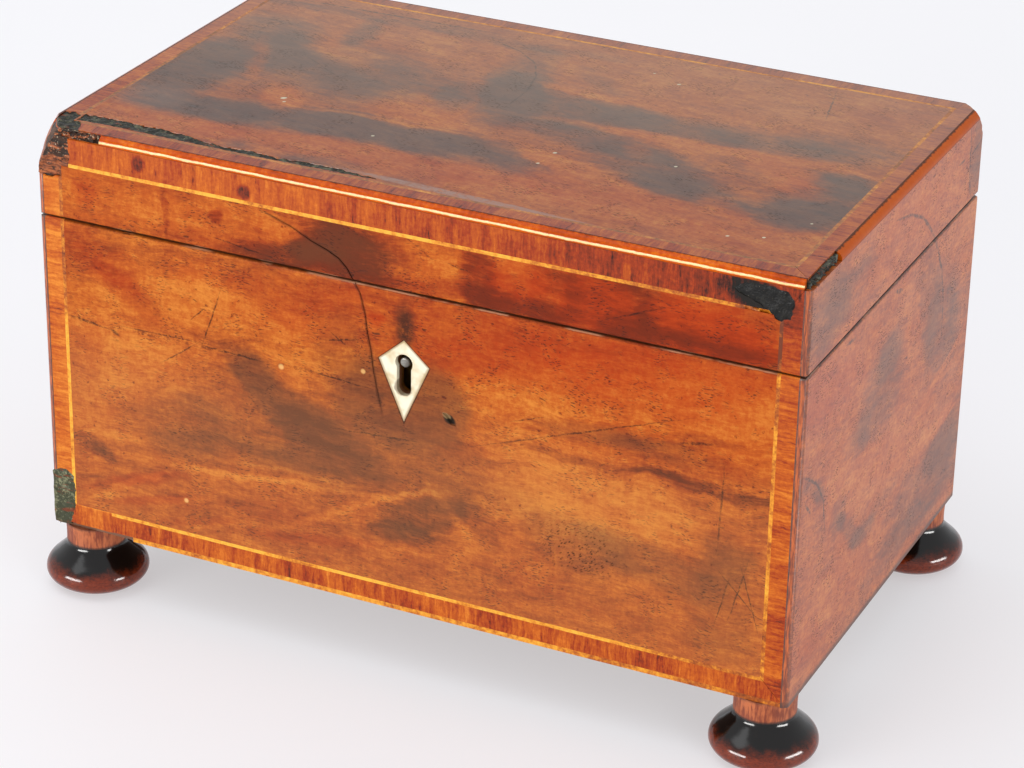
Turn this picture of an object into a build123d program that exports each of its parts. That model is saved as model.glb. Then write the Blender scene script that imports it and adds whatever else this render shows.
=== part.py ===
from build123d import *
import os
from math import atan2, degrees, radians, tan

# Two-compartment tea caddy: a veneered box on four turned bun feet, with a hinged lid,
# a box lock behind a kite escutcheon, and two lift-off inner lids over the compartments.
# X runs along the front, -Y is the front and +Z is up. The origin is at foot level,
# under the middle of the box. All sizes are in millimetres.

os.makedirs("parts", exist_ok=True)

# Carcass
case_length = 236.0
case_depth = 142.0
case_height = 100.4
lid_height = 27.3
seam_gap = 0.6
wall_thickness = 9.0
corner_lap = 4.5
base_thickness = 7.0
lid_board_thickness = 6.5

# Veneers, cross-banding, stringing lines and arris strips
veneer_thickness = 1.0
end_veneer_thickness = 2.0
end_arris_radius = 1.8
seam_wear = 0.5
side_band_width = 5.2
base_band_width = 5.4
lid_band_width = 7.5
top_band_width = 4.7
line_width = 1.1
base_line_height = 1.5
base_line_lost = 25.7
edging_width = 2.2
edging_height = 2.6
edging_radius = 2.1
edging_lost_front = 21.2
edging_lost_left = 9.0
edging_lost_right = 22.0
hairline = 0.1

# Turned feet
foot_height = 21.0
foot_inset_x = 9.4
foot_inset_y = 8.6
bun_radius = 15.5
bun_widest_z = 5.0
bun_shoulder = (14.4, 7.9)
bun_slope = (12.3, 9.9)
bun_cove = (9.9, 12.2)
bun_top = (8.6, 14.4)
foot_flat_radius = 7.0
collar_radius = 9.0
collar_top_radius = 9.2
collar_hollow = 0.15
tenon_radius = 4.0
tenon_length = 5.5
glue_gap = 0.05

# Compartments
lining_thickness = 3.0
divider_thickness = 5.0
foil_thickness = 0.4
foil_drop = 3.0
inner_lid_thickness = 5.0
inner_lid_drop = 4.0
inner_lid_gap = 0.8
inner_lid_seat_gap = 0.1
inner_lid_edge_radius = 1.2
lip_depth = 2.0
lip_gap = 0.6
paper_thickness = 0.3

# Turned knobs of the inner lids
knob_height = 12.0
knob_base_radius = 5.5
knob_base_height = 1.6
knob_neck_radius = 2.3
knob_ball_radius = 4.8
knob_tenon_radius = 2.0
knob_tenon_length = 3.5

# Butt hinges
hinge_inset = 40.0
hinge_set_in = 2.2
hinge_bevel = 51.0
leaf_length = 32.0
leaf_depth = 7.0
leaf_thickness = 1.2
knuckle_radius = 2.2
knuckle_count = 5
knuckle_gap = 0.15
knuckle_clearance = 0.25
barrel_clearance = 0.4
pin_radius = 1.1
pin_clearance = 0.05
metal_fit = 0.1

# Countersunk screws
screw_head_radius = 1.9
screw_head_height = 0.9
screw_shank_radius = 1.0
screw_length = 6.5
screw_point = 1.5
screw_clearance = 0.05
hinge_screw_spacing = 11.0
hinge_screw_setback = 4.5

# Kite escutcheon and keyhole
kite_width = 15.7
kite_above_pin = 7.0
kite_below_pin = 18.0
kite_shoulder = 0.1
kite_thickness = 1.6
keyhole_bulb_radius = 2.7
keyhole_slot_width = 4.5
bit_reach = 10.0

# Box lock
lock_body_width = 44.0
lock_wing = 7.0
lock_height = 37.0
lock_plate = 1.2
lock_cavity = 4.4
lock_cap_thickness = 1.0
drill_pin_drop = 21.3
drill_pin_radius = 1.5
drill_pin_rivet_radius = 1.0
drill_pin_setback = 0.4
lock_screw_inset = 3.5
lock_screw_drop = 9.0
lock_screw_spacing = 20.0

# Bolt and its spring
bolt_travel = 4.5
bolt_play = 0.2
bolt_height = 5.6
bolt_left = 19.3
bolt_right = 13.0
bolt_rest_gap = 0.1
talon_depth = 2.8
talon_width = 8.6
talon_clearance = 0.3
ledge_thickness = 1.2
ledge_reach = 11.3
post_width = 2.5
finger_height = 2.6
finger_width = 1.4
finger_gap = 0.4
spring_thickness = 0.5
spring_width = 3.0
spring_span = 7.0
spring_centre = -2.5
spring_gap = 0.3

# Link plate under the lid, with its two staples
link_plate_width = 6.0
link_plate_thickness = 1.2
link_screw_inset = 7.0
staple_spacing = 22.0
staple_thickness = 1.8
staple_width = 3.2
staple_drop = 8.0
staple_eye_height = 3.4
staple_eye_width = 2.0
staple_bridge = 1.2
staple_slot_clearance = 0.6

# Levels and faces that follow from the sizes
rim_z = foot_height + case_height
floor_z = foot_height + base_thickness
lid_z = rim_z + seam_gap
top_z = lid_z + lid_height
board_top_z = top_z - veneer_thickness
lid_ceiling_z = board_top_z - lid_board_thickness
edging_z = top_z - edging_height
base_band_z = foot_height + base_line_height

end_x = case_length / 2
face_y = case_depth / 2
board_end_x = end_x - end_veneer_thickness
board_face_y = face_y - veneer_thickness
inner_end_x = board_end_x - wall_thickness
inner_face_y = board_face_y - wall_thickness
foot_x = end_x - foot_inset_x
foot_y = face_y - foot_inset_y
hinge_x = end_x - hinge_inset
slack = 1.0

hinge_y = face_y - hinge_set_in
hinge_z = rim_z + seam_gap / 2

pin_z = rim_z - drill_pin_drop
lock_back_y = inner_face_y + lock_plate
lock_mid_y = lock_back_y + lock_cavity / 2
lock_cap_y = lock_back_y + lock_cavity
lock_front_y = lock_cap_y + lock_cap_thickness
lock_half_body = lock_body_width / 2
lock_half_width = lock_half_body + lock_wing
lock_wall_x = lock_half_body - lock_plate

front_face = Plane.XZ.offset(board_face_y)
back_face = Plane.XZ.offset(-board_face_y)
rim_plane = Plane.XY.offset(rim_z)
lid_plane = Plane.XY.offset(lid_z)
lock_plane = Plane.XZ.offset(lock_mid_y)


def rectangle_between(x0, y0, x1, y1, mode=Mode.ADD):
    """A rectangle given by two opposite corners."""
    with Locations(((x0 + x1) / 2, (y0 + y1) / 2)):
        Rectangle(abs(x1 - x0), abs(y1 - y0), mode=mode)


def mitred_frame(outer, inner):
    """Strips between two rectangles, parted by a hairline at each mitred corner."""
    rectangle_between(*outer)
    rectangle_between(*inner, mode=Mode.SUBTRACT)
    for side in (0, 2):
        for end in (1, 3):
            reach_x = inner[side] - outer[side]
            reach_y = inner[end] - outer[end]
            if reach_x and reach_y:
                with Locations((outer[side] + reach_x / 2, outer[end] + reach_y / 2)):
                    Rectangle(
                        abs(reach_x) + abs(reach_y),
                        hairline,
                        rotation=degrees(atan2(reach_y, reach_x)),
                        mode=Mode.SUBTRACT,
                    )


def grown(panel, left, bottom, right, top):
    """The same rectangle with each side moved out by its own amount."""
    return (panel[0] - left, panel[1] - bottom, panel[2] + right, panel[3] + top)


# Fields, lines and bands of the decorated faces, as corners (x0, y0, x1, y1)
band_x = board_end_x - side_band_width
line_x = band_x - line_width

front_band_outer = (-board_end_x, base_band_z, board_end_x, rim_z)
front_line_outer = (-band_x, base_band_z + base_band_width, band_x, rim_z)
front_field = grown(front_line_outer, -line_width, -line_width, -line_width, 0)

lid_band_outer = (-board_end_x, lid_z, board_end_x, edging_z)
lid_line_outer = (-band_x, lid_z, band_x, edging_z - lid_band_width)
lid_field = grown(lid_line_outer, -line_width, 0, -line_width, -line_width)

top_edge_x = end_x - edging_width
top_edge_y = face_y - edging_width
top_band_outer = (-top_edge_x, -top_edge_y, top_edge_x, top_edge_y)
top_line_outer = grown(
    top_band_outer, -top_band_width, -top_band_width, -top_band_width, -top_band_width
)
top_field = grown(top_line_outer, -line_width, -line_width, -line_width, -line_width)


# Cutting shapes shared by the pieces that meet at a hinge, the lock or the seam

# Countersunk screw, head flush at the origin and shank pointing down
with BuildPart() as wood_screw:
    with BuildSketch(Plane.XZ):
        with BuildLine():
            Polyline(
                (0, 0),
                (screw_head_radius, 0),
                (screw_shank_radius, -screw_head_height),
                (screw_shank_radius, screw_point - screw_length),
                (0, -screw_length),
                (0, 0),
            )
        make_face()
    revolve(axis=Axis.Z)

with BuildPart() as screw_socket:
    with BuildSketch(Plane.XZ):
        with BuildLine():
            Polyline(
                (0, 0),
                (screw_head_radius + screw_clearance, 0),
                (screw_shank_radius + screw_clearance, -screw_head_height),
                (screw_shank_radius + screw_clearance, -screw_length - screw_clearance),
                (0, -screw_length - screw_clearance),
                (0, 0),
            )
        make_face()
    revolve(axis=Axis.Z)

hinge_screw_y = hinge_y - hinge_screw_setback
case_hinge_screws_at = [
    (side * hinge_x + step * hinge_screw_spacing, hinge_screw_y, rim_z)
    for side in (-1, 1)
    for step in (-1, 0, 1)
]
lid_hinge_screws_at = [(x, y, lid_z) for x, y, z in case_hinge_screws_at]

# Back arrises are bevelled from the hinge axis so that the lid can swing past upright
bevel_rise = (hinge_set_in + slack) * tan(radians(hinge_bevel))

with BuildPart() as case_bevel:
    with BuildSketch(Plane.YZ):
        with BuildLine():
            Polyline(
                (hinge_y, rim_z),
                (face_y + slack, rim_z),
                (face_y + slack, rim_z - bevel_rise),
                (hinge_y, rim_z),
            )
        make_face()
    extrude(amount=end_x + slack, both=True)

with BuildPart() as lid_bevel:
    with BuildSketch(Plane.YZ):
        with BuildLine():
            Polyline(
                (hinge_y, lid_z),
                (face_y + slack, lid_z),
                (face_y + slack, lid_z + bevel_rise),
                (hinge_y, lid_z),
            )
        make_face()
    extrude(amount=end_x + slack, both=True)

# Hinge gains: leaf recess, room for the barrel, and screw pilots
barrel_room = leaf_length + 2 * barrel_clearance
leaf_mid_y = hinge_y - leaf_depth / 2

with BuildPart() as case_hinge_gains:
    with BuildSketch(rim_plane):
        with Locations((-hinge_x, leaf_mid_y), (hinge_x, leaf_mid_y)):
            Rectangle(leaf_length + 2 * metal_fit, leaf_depth + 2 * metal_fit)
    extrude(amount=-leaf_thickness)
    with BuildSketch(
        Plane.YZ.offset(-hinge_x - barrel_room / 2),
        Plane.YZ.offset(hinge_x - barrel_room / 2),
    ):
        with Locations((hinge_y, hinge_z)):
            Circle(knuckle_radius + barrel_clearance)
    extrude(amount=barrel_room)
    with Locations(*case_hinge_screws_at):
        add(screw_socket.part)

with BuildPart() as lid_hinge_gains:
    with BuildSketch(lid_plane):
        with Locations((-hinge_x, leaf_mid_y), (hinge_x, leaf_mid_y)):
            Rectangle(leaf_length + 2 * metal_fit, leaf_depth + 2 * metal_fit)
    extrude(amount=leaf_thickness)
    with BuildSketch(
        Plane.YZ.offset(-hinge_x - barrel_room / 2),
        Plane.YZ.offset(hinge_x - barrel_room / 2),
    ):
        with Locations((hinge_y, hinge_z)):
            Circle(knuckle_radius + barrel_clearance)
    extrude(amount=barrel_room)
    with Locations(*lid_hinge_screws_at):
        add(screw_socket.part, rotation=(180, 0, 0))

# Arrises worn away all round the seam
with BuildPart() as case_seam_wear:
    with BuildSketch(Plane.XY.offset(rim_z - seam_wear)) as around_case:
        Rectangle(case_length + slack, case_depth + slack)
    extrude(amount=seam_wear)
    with BuildSketch(Plane.XY.offset(rim_z - seam_wear)):
        Rectangle(case_length, case_depth)
    extrude(amount=seam_wear, taper=45, mode=Mode.SUBTRACT)

with BuildPart() as lid_seam_wear:
    mirror(case_seam_wear.part, about=Plane.XY.offset(hinge_z))

# Keyhole, on the middle plane and facing the front
with BuildSketch(Plane.XZ) as keyhole:
    slot_end = keyhole_slot_width / 2
    with Locations((0, pin_z)):
        Circle(keyhole_bulb_radius)
        Rectangle(keyhole_slot_width, bit_reach - slot_end, align=(Align.CENTER, Align.MAX))
    with Locations((0, pin_z - bit_reach + slot_end)):
        Circle(slot_end)

# Kite outline, straight-sided with its shoulders level with the drill pin
with BuildSketch(Plane.XZ) as kite:
    with BuildLine():
        Polyline(
            (0, pin_z + kite_above_pin),
            (kite_width / 2, pin_z + kite_shoulder),
            (0, pin_z - kite_below_pin),
            (-kite_width / 2, pin_z + kite_shoulder),
            (0, pin_z + kite_above_pin),
        )
    make_face()

with BuildPart() as kite_pocket:
    with BuildSketch(Plane.XZ.offset(face_y - kite_thickness)):
        add(kite.sketch_local)
        offset(amount=glue_gap)
    extrude(amount=kite_thickness)

lock_screws_at = [
    (side * (lock_half_width - lock_screw_inset), -inner_face_y, rim_z - lock_screw_drop - step)
    for side in (-1, 1)
    for step in (0, lock_screw_spacing)
]

# Mortise for the lock body, with gains for its wings and its top plate
with BuildPart() as lock_mortise:
    with BuildSketch(Plane.XZ.offset(inner_face_y)):
        with Locations((0, rim_z)):
            Rectangle(
                lock_body_width + 2 * metal_fit,
                lock_height + metal_fit,
                align=(Align.CENTER, Align.MAX),
            )
    extrude(amount=lock_front_y + metal_fit - inner_face_y)
    with BuildSketch(Plane.XZ.offset(inner_face_y)):
        with Locations((0, rim_z)):
            Rectangle(
                2 * (lock_half_width + metal_fit),
                lock_height + metal_fit,
                align=(Align.CENTER, Align.MAX),
            )
    extrude(amount=lock_plate)
    with BuildSketch(rim_plane):
        rectangle_between(
            -lock_half_width - metal_fit,
            -lock_front_y - metal_fit,
            lock_half_width + metal_fit,
            -inner_face_y,
        )
    extrude(amount=-lock_plate)
    with Locations(*lock_screws_at):
        add(screw_socket.part, rotation=(-90, 0, 0))

link_screw_x = lock_half_width - link_screw_inset
link_screws_at = [(-link_screw_x, -lock_mid_y, lid_z), (link_screw_x, -lock_mid_y, lid_z)]

with BuildPart() as link_gain:
    with BuildSketch(lid_plane):
        with Locations((0, -lock_mid_y)):
            Rectangle(2 * (lock_half_width + metal_fit), link_plate_width + 2 * metal_fit)
    extrude(amount=link_plate_thickness)
    with Locations(*link_screws_at):
        add(screw_socket.part, rotation=(180, 0, 0))


# Carcass of the case

# Base board, with blind sockets for the foot tenons
with BuildPart() as case_base:
    with BuildSketch(Plane.XY.offset(foot_height)):
        Rectangle(2 * board_end_x, 2 * board_face_y)
    extrude(amount=base_thickness)
    with BuildSketch(Plane.XY.offset(foot_height)):
        with GridLocations(2 * foot_x, 2 * foot_y, 2, 2):
            Circle(tenon_radius + glue_gap)
    extrude(amount=tenon_length + glue_gap, mode=Mode.SUBTRACT)
case_base.part.label = "case_base"
export_step(case_base.part, "parts/case_base.step")

# Long wall in plan: the corner lap leaves its outer half to cover the end board
with BuildSketch() as front_wall_plan:
    rectangle_between(-inner_end_x, -board_face_y, inner_end_x, -inner_face_y)
    rectangle_between(-board_end_x, -board_face_y, board_end_x, corner_lap - board_face_y)

with BuildPart() as case_front:
    with BuildSketch(Plane.XY.offset(floor_z)):
        add(front_wall_plan.sketch)
    extrude(amount=rim_z - floor_z)
    add(lock_mortise.part, mode=Mode.SUBTRACT)
    add(kite_pocket.part, mode=Mode.SUBTRACT)
    extrude(keyhole.sketch, amount=face_y, mode=Mode.SUBTRACT)
case_front.part.label = "case_front"
export_step(case_front.part, "parts/case_front.step")

with BuildPart() as case_back:
    with BuildSketch(Plane.XY.offset(floor_z)):
        mirror(front_wall_plan.sketch, about=Plane.XZ)
    extrude(amount=rim_z - floor_z)
    add(case_hinge_gains.part, mode=Mode.SUBTRACT)
    add(case_bevel.part, mode=Mode.SUBTRACT)
case_back.part.label = "case_back"
export_step(case_back.part, "parts/case_back.step")

# End boards, seated in the corner laps
end_board_depth = 2 * (board_face_y - corner_lap)
end_board_x = (board_end_x + inner_end_x) / 2

for side, x in (("left", -end_board_x), ("right", end_board_x)):
    with BuildPart() as case_end:
        with BuildSketch(Plane.XY.offset(floor_z)):
            with Locations((x, 0)):
                Rectangle(wall_thickness, end_board_depth)
        extrude(amount=rim_z - floor_z)
    case_end.part.label = f"case_{side}_end"
    export_step(case_end.part, f"parts/case_{side}_end.step")


# Veneered faces of the case

with BuildPart() as front_veneer:
    with BuildSketch(front_face):
        rectangle_between(*front_field)
    extrude(amount=veneer_thickness)
    add(kite_pocket.part, mode=Mode.SUBTRACT)
    add(case_seam_wear.part, mode=Mode.SUBTRACT)
front_veneer.part.label = "front_veneer"
export_step(front_veneer.part, "parts/front_veneer.step")

with BuildPart() as front_lines:
    with BuildSketch(front_face):
        mitred_frame(front_line_outer, front_field)
    extrude(amount=veneer_thickness)
    add(case_seam_wear.part, mode=Mode.SUBTRACT)
front_lines.part.label = "front_lines"
export_step(front_lines.part, "parts/front_lines.step")

with BuildPart() as front_crossbanding:
    with BuildSketch(front_face):
        mitred_frame(front_band_outer, front_line_outer)
    extrude(amount=veneer_thickness)
    add(case_seam_wear.part, mode=Mode.SUBTRACT)
front_crossbanding.part.label = "front_crossbanding"
export_step(front_crossbanding.part, "parts/front_crossbanding.step")

# Pale line along the bottom arris; its left end has come away
with BuildPart() as base_line:
    with BuildSketch(front_face):
        rectangle_between(base_line_lost - board_end_x, foot_height, board_end_x, base_band_z)
    extrude(amount=veneer_thickness)
base_line.part.label = "base_line"
export_step(base_line.part, "parts/base_line.step")

with BuildPart() as back_veneer:
    with BuildSketch(back_face):
        rectangle_between(-board_end_x, foot_height, board_end_x, rim_z)
    extrude(amount=-veneer_thickness)
    add(case_hinge_gains.part, mode=Mode.SUBTRACT)
    add(case_bevel.part, mode=Mode.SUBTRACT)
back_veneer.part.label = "back_veneer"
export_step(back_veneer.part, "parts/back_veneer.step")

end_veneer_x = (end_x + board_end_x) / 2

for side, x in (("left", -end_veneer_x), ("right", end_veneer_x)):
    with BuildPart() as end_veneer:
        with BuildSketch(Plane.XY.offset(foot_height)):
            with Locations((x, 0)):
                Rectangle(end_veneer_thickness, case_depth)
        extrude(amount=case_height)
        outside = Axis.X if x > 0 else -Axis.X
        fillet(end_veneer.edges().filter_by(Axis.Z).group_by(outside)[-1], end_arris_radius)
        add(case_seam_wear.part, mode=Mode.SUBTRACT)
        add(case_bevel.part, mode=Mode.SUBTRACT)
    end_veneer.part.label = f"{side}_end_veneer"
    export_step(end_veneer.part, f"parts/{side}_end_veneer.step")

# Kite escutcheon, let in flush with the veneer
with BuildPart() as escutcheon:
    with BuildSketch(Plane.XZ.offset(face_y - kite_thickness)):
        add(kite.sketch_local)
    extrude(amount=kite_thickness)
    extrude(keyhole.sketch, amount=face_y, mode=Mode.SUBTRACT)
escutcheon.part.label = "escutcheon"
export_step(escutcheon.part, "parts/escutcheon.step")


# Turned foot on its own axis: bun with its rim low down, slope, cove, collar and tenon
with BuildPart() as turned_foot:
    with BuildSketch(Plane.XZ):
        with BuildLine():
            Line((0, 0), (foot_flat_radius, 0))
            EllipticalCenterArc(
                (foot_flat_radius, bun_widest_z),
                bun_radius - foot_flat_radius,
                bun_widest_z,
                270,
                arc_size=90,
            )
            Spline(
                (bun_radius, bun_widest_z),
                bun_shoulder,
                bun_slope,
                bun_cove,
                bun_top,
                tangents=((0, 1), (-0.2, 1)),
            )
            Line(bun_top, (collar_radius, bun_top[1]))
            ThreePointArc(
                (collar_radius, bun_top[1]),
                (
                    (collar_radius + collar_top_radius) / 2 - collar_hollow,
                    (bun_top[1] + foot_height) / 2,
                ),
                (collar_top_radius, foot_height),
            )
            Polyline(
                (collar_top_radius, foot_height),
                (tenon_radius, foot_height),
                (tenon_radius, foot_height + tenon_length),
                (0, foot_height + tenon_length),
                (0, 0),
            )
        make_face()
    revolve(axis=Axis.Z)

for end, y in (("front", -foot_y), ("back", foot_y)):
    for side, x in (("left", -foot_x), ("right", foot_x)):
        with BuildPart() as foot:
            with Locations((x, y, 0)):
                add(turned_foot.part)
        foot.part.label = f"foot_{end}_{side}"
        export_step(foot.part, f"parts/foot_{end}_{side}.step")


# Compartments

seat_z = rim_z - inner_lid_drop - inner_lid_thickness - inner_lid_seat_gap
well_x = inner_end_x - lining_thickness
well_y = inner_face_y - lining_thickness
divider_x = divider_thickness / 2

for end, y in (("front", -1), ("back", 1)):
    with BuildPart() as long_lining:
        with BuildSketch(Plane.XY.offset(floor_z)):
            rectangle_between(-inner_end_x, y * well_y, inner_end_x, y * inner_face_y)
        extrude(amount=seat_z - floor_z)
    long_lining.part.label = f"lining_{end}"
    export_step(long_lining.part, f"parts/lining_{end}.step")

for side, x in (("left", -1), ("right", 1)):
    with BuildPart() as end_lining:
        with BuildSketch(Plane.XY.offset(floor_z)):
            rectangle_between(x * well_x, -well_y, x * inner_end_x, well_y)
        extrude(amount=seat_z - floor_z)
    end_lining.part.label = f"lining_{side}"
    export_step(end_lining.part, f"parts/lining_{side}.step")

with BuildPart() as divider:
    with BuildSketch(Plane.XY.offset(floor_z)):
        Rectangle(divider_thickness, 2 * well_y)
    extrude(amount=seat_z - floor_z)
divider.part.label = "divider"
export_step(divider.part, "parts/divider.step")

# Foil trays against the walls and floor of each compartment
for side, x in (("left", -1), ("right", 1)):
    with BuildPart() as foil_lining:
        with BuildSketch(Plane.XY.offset(floor_z)):
            rectangle_between(x * divider_x, -well_y, x * well_x, well_y)
        extrude(amount=seat_z - foil_drop - floor_z)
        with BuildSketch(Plane.XY.offset(floor_z + foil_thickness)):
            rectangle_between(
                x * (divider_x + foil_thickness),
                foil_thickness - well_y,
                x * (well_x - foil_thickness),
                well_y - foil_thickness,
            )
        extrude(amount=case_height, mode=Mode.SUBTRACT)
    foil_lining.part.label = f"{side}_foil_lining"
    export_step(foil_lining.part, f"parts/{side}_foil_lining.step")

# Turned knob with a ball top, on its own axis
ball_z = knob_height - knob_ball_radius

with BuildPart() as turned_knob:
    with BuildSketch(Plane.XZ):
        with BuildLine():
            Polyline(
                (0, -knob_tenon_length),
                (knob_tenon_radius, -knob_tenon_length),
                (knob_tenon_radius, 0),
                (knob_base_radius, 0),
                (knob_base_radius, knob_base_height / 2),
            )
            JernArc(
                (knob_base_radius, knob_base_height / 2),
                (0, 1),
                knob_base_height / 2,
                90,
            )
            RadiusArc(
                (knob_base_radius - knob_base_height / 2, knob_base_height),
                (knob_neck_radius, ball_z - knob_ball_radius * 0.8),
                -knob_ball_radius,
            )
            Line((knob_neck_radius, ball_z - knob_ball_radius * 0.8), (0, ball_z))
            Line((0, ball_z), (0, -knob_tenon_length))
        make_face()
    revolve(axis=Axis.Z)
    with Locations((0, 0, ball_z)):
        Sphere(knob_ball_radius)

# Lift-off inner lids: a plate on the linings, with a lip that drops into the well
inner_lid_z = seat_z + inner_lid_seat_gap
inner_lid_mid_x = (inner_end_x - inner_lid_gap + inner_lid_gap / 2) / 2

for side, x in (("left", -1), ("right", 1)):
    with BuildPart() as inner_lid:
        with BuildSketch(Plane.XY.offset(inner_lid_z)):
            rectangle_between(
                x * inner_lid_gap / 2,
                inner_lid_gap - inner_face_y,
                x * (inner_end_x - inner_lid_gap),
                inner_face_y - inner_lid_gap,
            )
        extrude(amount=inner_lid_thickness)
        fillet(inner_lid.faces().sort_by(Axis.Z)[-1].edges(), inner_lid_edge_radius)
        with BuildSketch(Plane.XY.offset(inner_lid_z)):
            rectangle_between(
                x * (divider_x + lip_gap),
                lip_gap - well_y,
                x * (well_x - lip_gap),
                well_y - lip_gap,
            )
        extrude(amount=-lip_depth)
        with BuildSketch(Plane.XY.offset(inner_lid_z + inner_lid_thickness)):
            with Locations((x * inner_lid_mid_x, 0)):
                Circle(knob_tenon_radius + glue_gap)
        extrude(amount=-knob_tenon_length - glue_gap, mode=Mode.SUBTRACT)
    inner_lid.part.label = f"{side}_inner_lid"
    export_step(inner_lid.part, f"parts/{side}_inner_lid.step")

    with BuildPart() as knob:
        with Locations((x * inner_lid_mid_x, 0, inner_lid_z + inner_lid_thickness)):
            add(turned_knob.part)
    knob.part.label = f"{side}_knob"
    export_step(knob.part, f"parts/{side}_knob.step")


# Carcass of the lid

with BuildPart() as lid_top_board:
    with BuildSketch(Plane.XY.offset(lid_ceiling_z)):
        Rectangle(2 * board_end_x, 2 * board_face_y)
    extrude(amount=lid_board_thickness)
    with BuildSketch(Plane.XY.offset(edging_z)):
        Rectangle(case_length, case_depth)
        rectangle_between(*top_band_outer, mode=Mode.SUBTRACT)
    extrude(amount=edging_height, mode=Mode.SUBTRACT)
lid_top_board.part.label = "lid_top_board"
export_step(lid_top_board.part, "parts/lid_top_board.step")

with BuildPart() as lid_front_rail:
    with BuildSketch(lid_plane):
        add(front_wall_plan.sketch)
    extrude(amount=lid_ceiling_z - lid_z)
    add(link_gain.part, mode=Mode.SUBTRACT)
lid_front_rail.part.label = "lid_front_rail"
export_step(lid_front_rail.part, "parts/lid_front_rail.step")

with BuildPart() as lid_back_rail:
    with BuildSketch(lid_plane):
        mirror(front_wall_plan.sketch, about=Plane.XZ)
    extrude(amount=lid_ceiling_z - lid_z)
    add(lid_hinge_gains.part, mode=Mode.SUBTRACT)
    add(lid_bevel.part, mode=Mode.SUBTRACT)
lid_back_rail.part.label = "lid_back_rail"
export_step(lid_back_rail.part, "parts/lid_back_rail.step")

for side, x in (("left", -end_board_x), ("right", end_board_x)):
    with BuildPart() as lid_end_rail:
        with BuildSketch(lid_plane):
            with Locations((x, 0)):
                Rectangle(wall_thickness, end_board_depth)
        extrude(amount=lid_ceiling_z - lid_z)
    lid_end_rail.part.label = f"lid_{side}_rail"
    export_step(lid_end_rail.part, f"parts/lid_{side}_rail.step")

# Paper pasted over the inside of the lid
with BuildPart() as lid_lining_paper:
    with BuildSketch(lid_plane):
        Rectangle(2 * inner_end_x, 2 * inner_face_y)
    extrude(amount=lid_ceiling_z - lid_z)
    with BuildSketch(lid_plane):
        Rectangle(2 * (inner_end_x - paper_thickness), 2 * (inner_face_y - paper_thickness))
    extrude(amount=lid_ceiling_z - lid_z - paper_thickness, mode=Mode.SUBTRACT)
lid_lining_paper.part.label = "lid_lining_paper"
export_step(lid_lining_paper.part, "parts/lid_lining_paper.step")


# Veneered faces of the lid

with BuildPart() as lid_top_veneer:
    with BuildSketch(Plane.XY.offset(board_top_z)):
        rectangle_between(*top_field)
    extrude(amount=veneer_thickness)
lid_top_veneer.part.label = "lid_top_veneer"
export_step(lid_top_veneer.part, "parts/lid_top_veneer.step")

with BuildPart() as lid_top_lines:
    with BuildSketch(Plane.XY.offset(board_top_z)):
        mitred_frame(top_line_outer, top_field)
    extrude(amount=veneer_thickness)
lid_top_lines.part.label = "lid_top_lines"
export_step(lid_top_lines.part, "parts/lid_top_lines.step")

with BuildPart() as lid_top_crossbanding:
    with BuildSketch(Plane.XY.offset(board_top_z)):
        mitred_frame(top_band_outer, top_line_outer)
    extrude(amount=veneer_thickness)
lid_top_crossbanding.part.label = "lid_top_crossbanding"
export_step(lid_top_crossbanding.part, "parts/lid_top_crossbanding.step")

# Rounded strip let into the top arris; parts of it are lost at both front corners
with BuildPart() as lid_edging:
    with BuildSketch(Plane.XY.offset(edging_z)):
        Rectangle(case_length, case_depth)
    extrude(amount=edging_height)
    fillet(lid_edging.faces().sort_by(Axis.Z)[-1].edges(), edging_radius)
    with BuildSketch(Plane.XY.offset(edging_z)):
        rectangle_between(*top_band_outer)
        for side in (-1, 1):
            with Locations((side * (end_x - edging_width / 2), face_y - edging_width / 2)):
                Rectangle(3 * edging_width, hairline, rotation=side * 45)
        rectangle_between(-end_x, -face_y, edging_lost_front - end_x, edging_width - face_y)
        rectangle_between(-end_x, -face_y, edging_width - end_x, edging_lost_left - face_y)
        rectangle_between(end_x - edging_width, -face_y, end_x, edging_lost_right - face_y)
    extrude(amount=edging_height, mode=Mode.SUBTRACT)
lid_edging.part.label = "lid_edging"
export_step(lid_edging.part, "parts/lid_edging.step")

with BuildPart() as lid_front_veneer:
    with BuildSketch(front_face):
        rectangle_between(*lid_field)
    extrude(amount=veneer_thickness)
    add(lid_seam_wear.part, mode=Mode.SUBTRACT)
lid_front_veneer.part.label = "lid_front_veneer"
export_step(lid_front_veneer.part, "parts/lid_front_veneer.step")

with BuildPart() as lid_front_lines:
    with BuildSketch(front_face):
        mitred_frame(lid_line_outer, lid_field)
    extrude(amount=veneer_thickness)
    add(lid_seam_wear.part, mode=Mode.SUBTRACT)
lid_front_lines.part.label = "lid_front_lines"
export_step(lid_front_lines.part, "parts/lid_front_lines.step")

with BuildPart() as lid_front_crossbanding:
    with BuildSketch(front_face):
        mitred_frame(lid_band_outer, lid_line_outer)
    extrude(amount=veneer_thickness)
    add(lid_seam_wear.part, mode=Mode.SUBTRACT)
lid_front_crossbanding.part.label = "lid_front_crossbanding"
export_step(lid_front_crossbanding.part, "parts/lid_front_crossbanding.step")

with BuildPart() as lid_back_veneer:
    with BuildSketch(back_face):
        rectangle_between(-board_end_x, lid_z, board_end_x, edging_z)
    extrude(amount=-veneer_thickness)
    add(lid_hinge_gains.part, mode=Mode.SUBTRACT)
    add(lid_bevel.part, mode=Mode.SUBTRACT)
lid_back_veneer.part.label = "lid_back_veneer"
export_step(lid_back_veneer.part, "parts/lid_back_veneer.step")

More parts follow.
